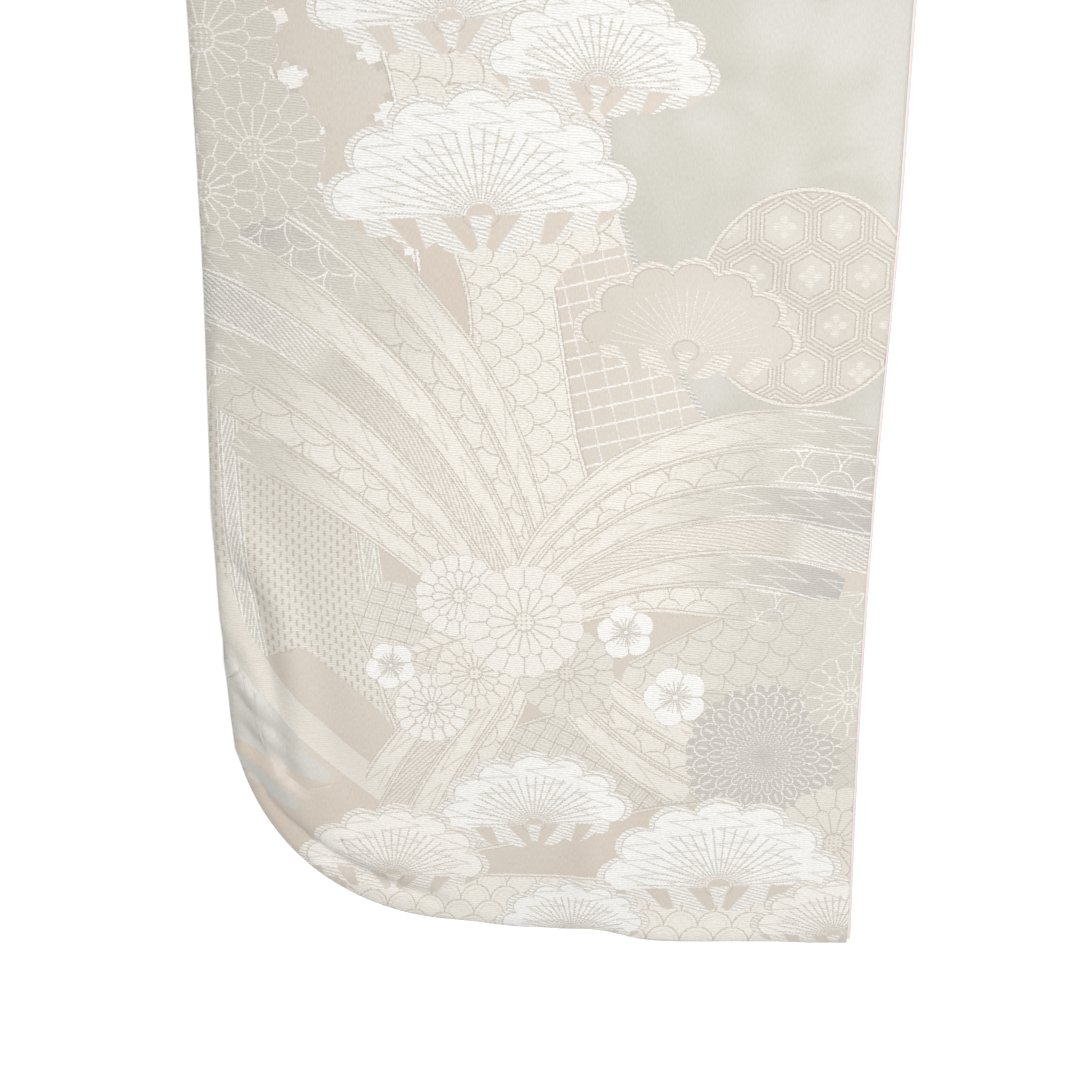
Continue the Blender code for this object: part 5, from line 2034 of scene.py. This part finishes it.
def front_panel(side, ring, front_height):
    outline = ring * (side, 1)

    def place(points):
        across = side * points[:, 0]
        return body_place(side, across, points[:, 1], front_height(points[:, 0], points[:, 1]))

    return Panel(outline, [], place, [], [(box_round(outline), FRONT_PITCH)])


print("grid of the fronts", FRONT_PITCH * 1000, "mm")

# %% Overlap panels and front collars
OVERLAP_TOP, OVERLAP_CLEAR, OVERLAP_ROWS, COLLAR_ROWS = POINT_DROP + 0.05, 0.0001, 120, 90

on_front = drawn_on(lambda spots: on_back(spots) * (1, -1), BODY, 180)
for side, word, front_height, hem in SIDES:
    overlap = between(
        lambda drop: overlap_edge(drop) + OVERLAP_CLEAR,
        lambda drop: PANEL_SEAM,
        OVERLAP_TOP,
        hem - HEM_REACH,
        OVERLAP_ROWS,
    )
    panel = front_panel(side, overlap, front_height)
    piece = add_cloth(f"overlap_{word}_brocade", panel, near(on_front, panel.outline))
    laid(piece, f"overlap_{word}", panel)
    collar = between(
        lambda drop: collar_seam(drop) - COLLAR_DEPTH,
        lambda drop: collar_seam(drop) - GAP,
        0.0,
        COLLAR_END,
        COLLAR_ROWS,
    )
    panel = front_panel(side, collar, front_height)
    piece = add_cloth(f"collar_{word}_brocade", panel, near(on_front, panel.outline))
    inwards = collar_seam(0.0) - collar_seam(COLLAR_END)
    slant = side * math.atan2(inwards, COLLAR_END)
    laid(piece, f"collar_{word}", panel, slant=slant)

# %% [markdown]
# ### Back collar
#
# Above the neck the collar is folded in half lengthwise, so its free edge is a soft fold and
# its wall is thicker. Its seam follows the neck's arc and its fold a flatter one, so points are
# placed by their share of the way round and of the way up.

# %% Back collar
COLLAR_WALL = 0.0026
END_REACH, END_RISE = 0.086, 0.018
MIDDLE_RISE = COLLAR_DEPTH - NECK_DEPTH
COLLAR_POINTS, COLLAR_RINGS, COLLAR_ROLL = 70, (*SEAM_RINGS, 0.0060), (0.0011, 0.0075)
COLLAR_HEIGHT, COLLAR_PITCH, COLLAR_AREA = LAYER + 0.0015, 0.0045, (-0.1, 0.1, -0.04, 0.05)


def collar_point(share, up):
    arch = np.sqrt(np.clip(1 - share**2, 0, 1))
    neck = pairs(share * (NECK_HALF - 2 * GAP), (NECK_DEPTH - 2 * GAP) * arch)
    rise = mix(END_RISE, MIDDLE_RISE, 1 - share**2)
    return mix(neck, pairs(share * END_REACH, -rise), np.expand_dims(up, -1))


def collar_panel():
    share = np.sin(np.linspace(-np.pi / 2, np.pi / 2, COLLAR_POINTS))
    seam, fold = collar_point(share, 0.0 * share), collar_point(share, 0 * share + 1.0)
    outline = np.concatenate([seam, fold[::-1][1:-1]]) * (1, -1)
    folded = fold * (1, -1)
    guides = [shifted(folded, -ring)[3:-3] for ring in COLLAR_RINGS]
    edges = [Edge(folded, *COLLAR_ROLL)]

    def place(points):
        across, drop = points[:, 0], -points[:, 1]
        height = COLLAR_HEIGHT - rolled_down(points, edges)
        return body_place(RIGHT, across, drop, height)

    return Panel(outline, guides, place, edges, [(oblong(*COLLAR_AREA), COLLAR_PITCH)])


collar = collar_panel()
on_collar = drawn_on(lambda spots: np.array(spots) * (1, -1), COLLAR)
laid(add_cloth("collar_back_brocade", collar, on_collar, COLLAR_WALL), "collar_back", collar)

# %% [markdown]
# ### Lining at the sleeve openings
#
# Below the sleeve seam the sleeve is open on its inner side, and the lining peeps out between
# its leaves by 2 mm. That fine pinkish line is all that shows of it, so a narrow strip with a
# rolled lip does, tucked 16 mm deep into the opening.

# %% Lining strips
LIP_POINTS, LIP_END, LIP_INSET, LIP_PITCH = 200, 0.002, 0.004, 0.008
LIP_RINGS, LIP_ROLL, LINING_CLOTH = (0.0003, 0.0008, 0.0014), (0.0004, 0.0015), 0.0009


def lining_panel(side):
    down = np.linspace(SEAM_LENGTH + LINING_WIDTH, SLEEVE_LENGTH - LIP_END, LIP_POINTS)
    bow = sleeve_across(0, down)
    lip = pairs(bow - LINING_SHOWS, down)
    hidden = pairs(bow + LINING_WIDTH - LIP_INSET, down)[::-1]
    outline = np.concatenate([lip, hidden]) * (side, -1)
    lip_line = lip * (side, -1)
    guides = [shifted(lip_line, side * ring)[1:-1] for ring in LIP_RINGS]
    edges = [Edge(lip_line, *LIP_ROLL)]

    def place(points):
        height = LAYER + LINING_WALL / 2 - rolled_down(points, edges)
        return sleeve_place(side, side * points[:, 0], -points[:, 1], height)

    return Panel(outline, guides, place, edges, [(box_round(outline), LIP_PITCH)])


for side, word in ((LEFT, "left"), (RIGHT, "right")):
    panel = lining_panel(side)
    piece = add_cloth(f"opening_{word}_lining", panel, [], LINING_CLOTH, LINING_SLOT)
    laid(piece, f"opening_lining_{word}", panel)

# %% [markdown]
# ## The hem roll
#
# The fuki is a tube of silk round a wadding cord. It weighs the hem down and makes it trail in
# a round edge. It goes once round the robe, so laid flat it makes three rows that turn at the
# sides. A cloth simulation would only blur its even tube, so a grid is rolled round its line
# and its radius puckers a little, as silk does over wadding.

# %% The roll's line
RUN_POINTS, TURN_POINTS = 60, 22


def roll_path():
    """The hem roll's line: left front, round the side, back, round the side, right front."""
    runs = []

    def run(first, last, drop):
        runs.append(pairs(np.linspace(first, last, RUN_POINTS), drop))

    def turn(side, first_drop, last_drop):
        radius = (last_drop - first_drop) / 2
        angle = np.linspace(0, np.pi, TURN_POINTS)[1:-1]
        out = BACK_HALF - ROLL_RADIUS - abs(radius) + abs(radius) * np.sin(angle)
        drop = (first_drop + last_drop) / 2 - radius * np.cos(angle)
        runs.append(pairs(side * out, drop))

    left_reach = BACK_HALF - ROLL_RADIUS - ROW_PITCH
    right_reach = BACK_HALF - ROLL_RADIUS - ROW_PITCH / 2
    run(FREE_EDGE, -left_reach, LEFT_ROLL_DROP)
    turn(LEFT, LEFT_ROLL_DROP, BACK_ROLL_DROP)
    run(-left_reach, right_reach, BACK_ROLL_DROP)
    turn(RIGHT, BACK_ROLL_DROP, RIGHT_ROLL_DROP)
    run(right_reach, -FREE_EDGE, RIGHT_ROLL_DROP)
    return np.concatenate(runs)


print("points on the roll's line", len(roll_path()))

# %% Hem roll
ROLL_SILK, ROLL_SHADE = (0.800, 0.765, 0.700), (0.700, 0.660, 0.590)
ROLL_STATIONS, ROLL_SIDES = 640, 24
PUCKERS, PUCKER_DRIFT, PUCKER_RISE = 620, 41, 0.00035
ROLL_ROUGH, MERGED = 0.40, 1e-6


def add_hem_roll(name):
    line = roll_path()
    lengths = np.concatenate([[0], np.hypot(*np.diff(line, axis=0).T).cumsum()])
    at = np.linspace(0, lengths[-1], ROLL_STATIONS + 1)
    path = pairs(*(np.interp(at, lengths, axis) for axis in line.T))
    side = sideways(path)
    to_end = np.minimum(at, lengths[-1] - at)
    rounded = np.sqrt(np.clip(1 - (1 - np.minimum(to_end / ROLL_RADIUS, 1)) ** 2, 0, 1))
    form = bmesh.new()
    cloth = form.loops.layers.uv.new("cloth")
    segments = {"x_segments": ROLL_STATIONS, "y_segments": ROLL_SIDES}
    bmesh.ops.create_grid(form, **segments, size=0.5, calc_uvs=True)
    for face in form.faces:
        for loop in face.loops:
            loop[cloth].uv.x *= lengths[-1]
            loop[cloth].uv.y *= 2 * math.pi * ROLL_RADIUS
    for crossing in form.verts:
        station = round((crossing.co.x + 0.5) * ROLL_STATIONS)
        angle = (crossing.co.y + 0.5) * 2 * math.pi
        stitches = at[station] * PUCKERS + 2 * math.sin(at[station] * PUCKER_DRIFT)
        pucker = PUCKER_RISE * math.sin(stitches) * math.sin(angle / 2) ** 2
        radius = (ROLL_RADIUS + pucker) * rounded[station]
        out = path[station] + side[station] * radius * math.sin(angle)
        height = max(0.0, ROLL_RADIUS - radius * math.cos(angle))
        crossing.co = body_place(RIGHT, out[0], out[1], height)
    bmesh.ops.remove_doubles(form, verts=form.verts, dist=MERGED)
    bmesh.ops.recalc_face_normals(form, faces=form.faces)
    mesh = bpy.data.meshes.new(name)
    form.to_mesh(mesh)
    form.free()
    mesh.shade_smooth()
    mesh.materials.append(plain_silk("roll_silk", ROLL_SILK, ROLL_SHADE, ROLL_ROUGH))
    piece = into_scene(name, mesh)
    print(name, "length", round(float(lengths[-1]), 3), "faces", len(mesh.polygons))
    return piece


roll = add_hem_roll("hem_roll_wadded")
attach(roll, "root")
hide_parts("hem_roll")
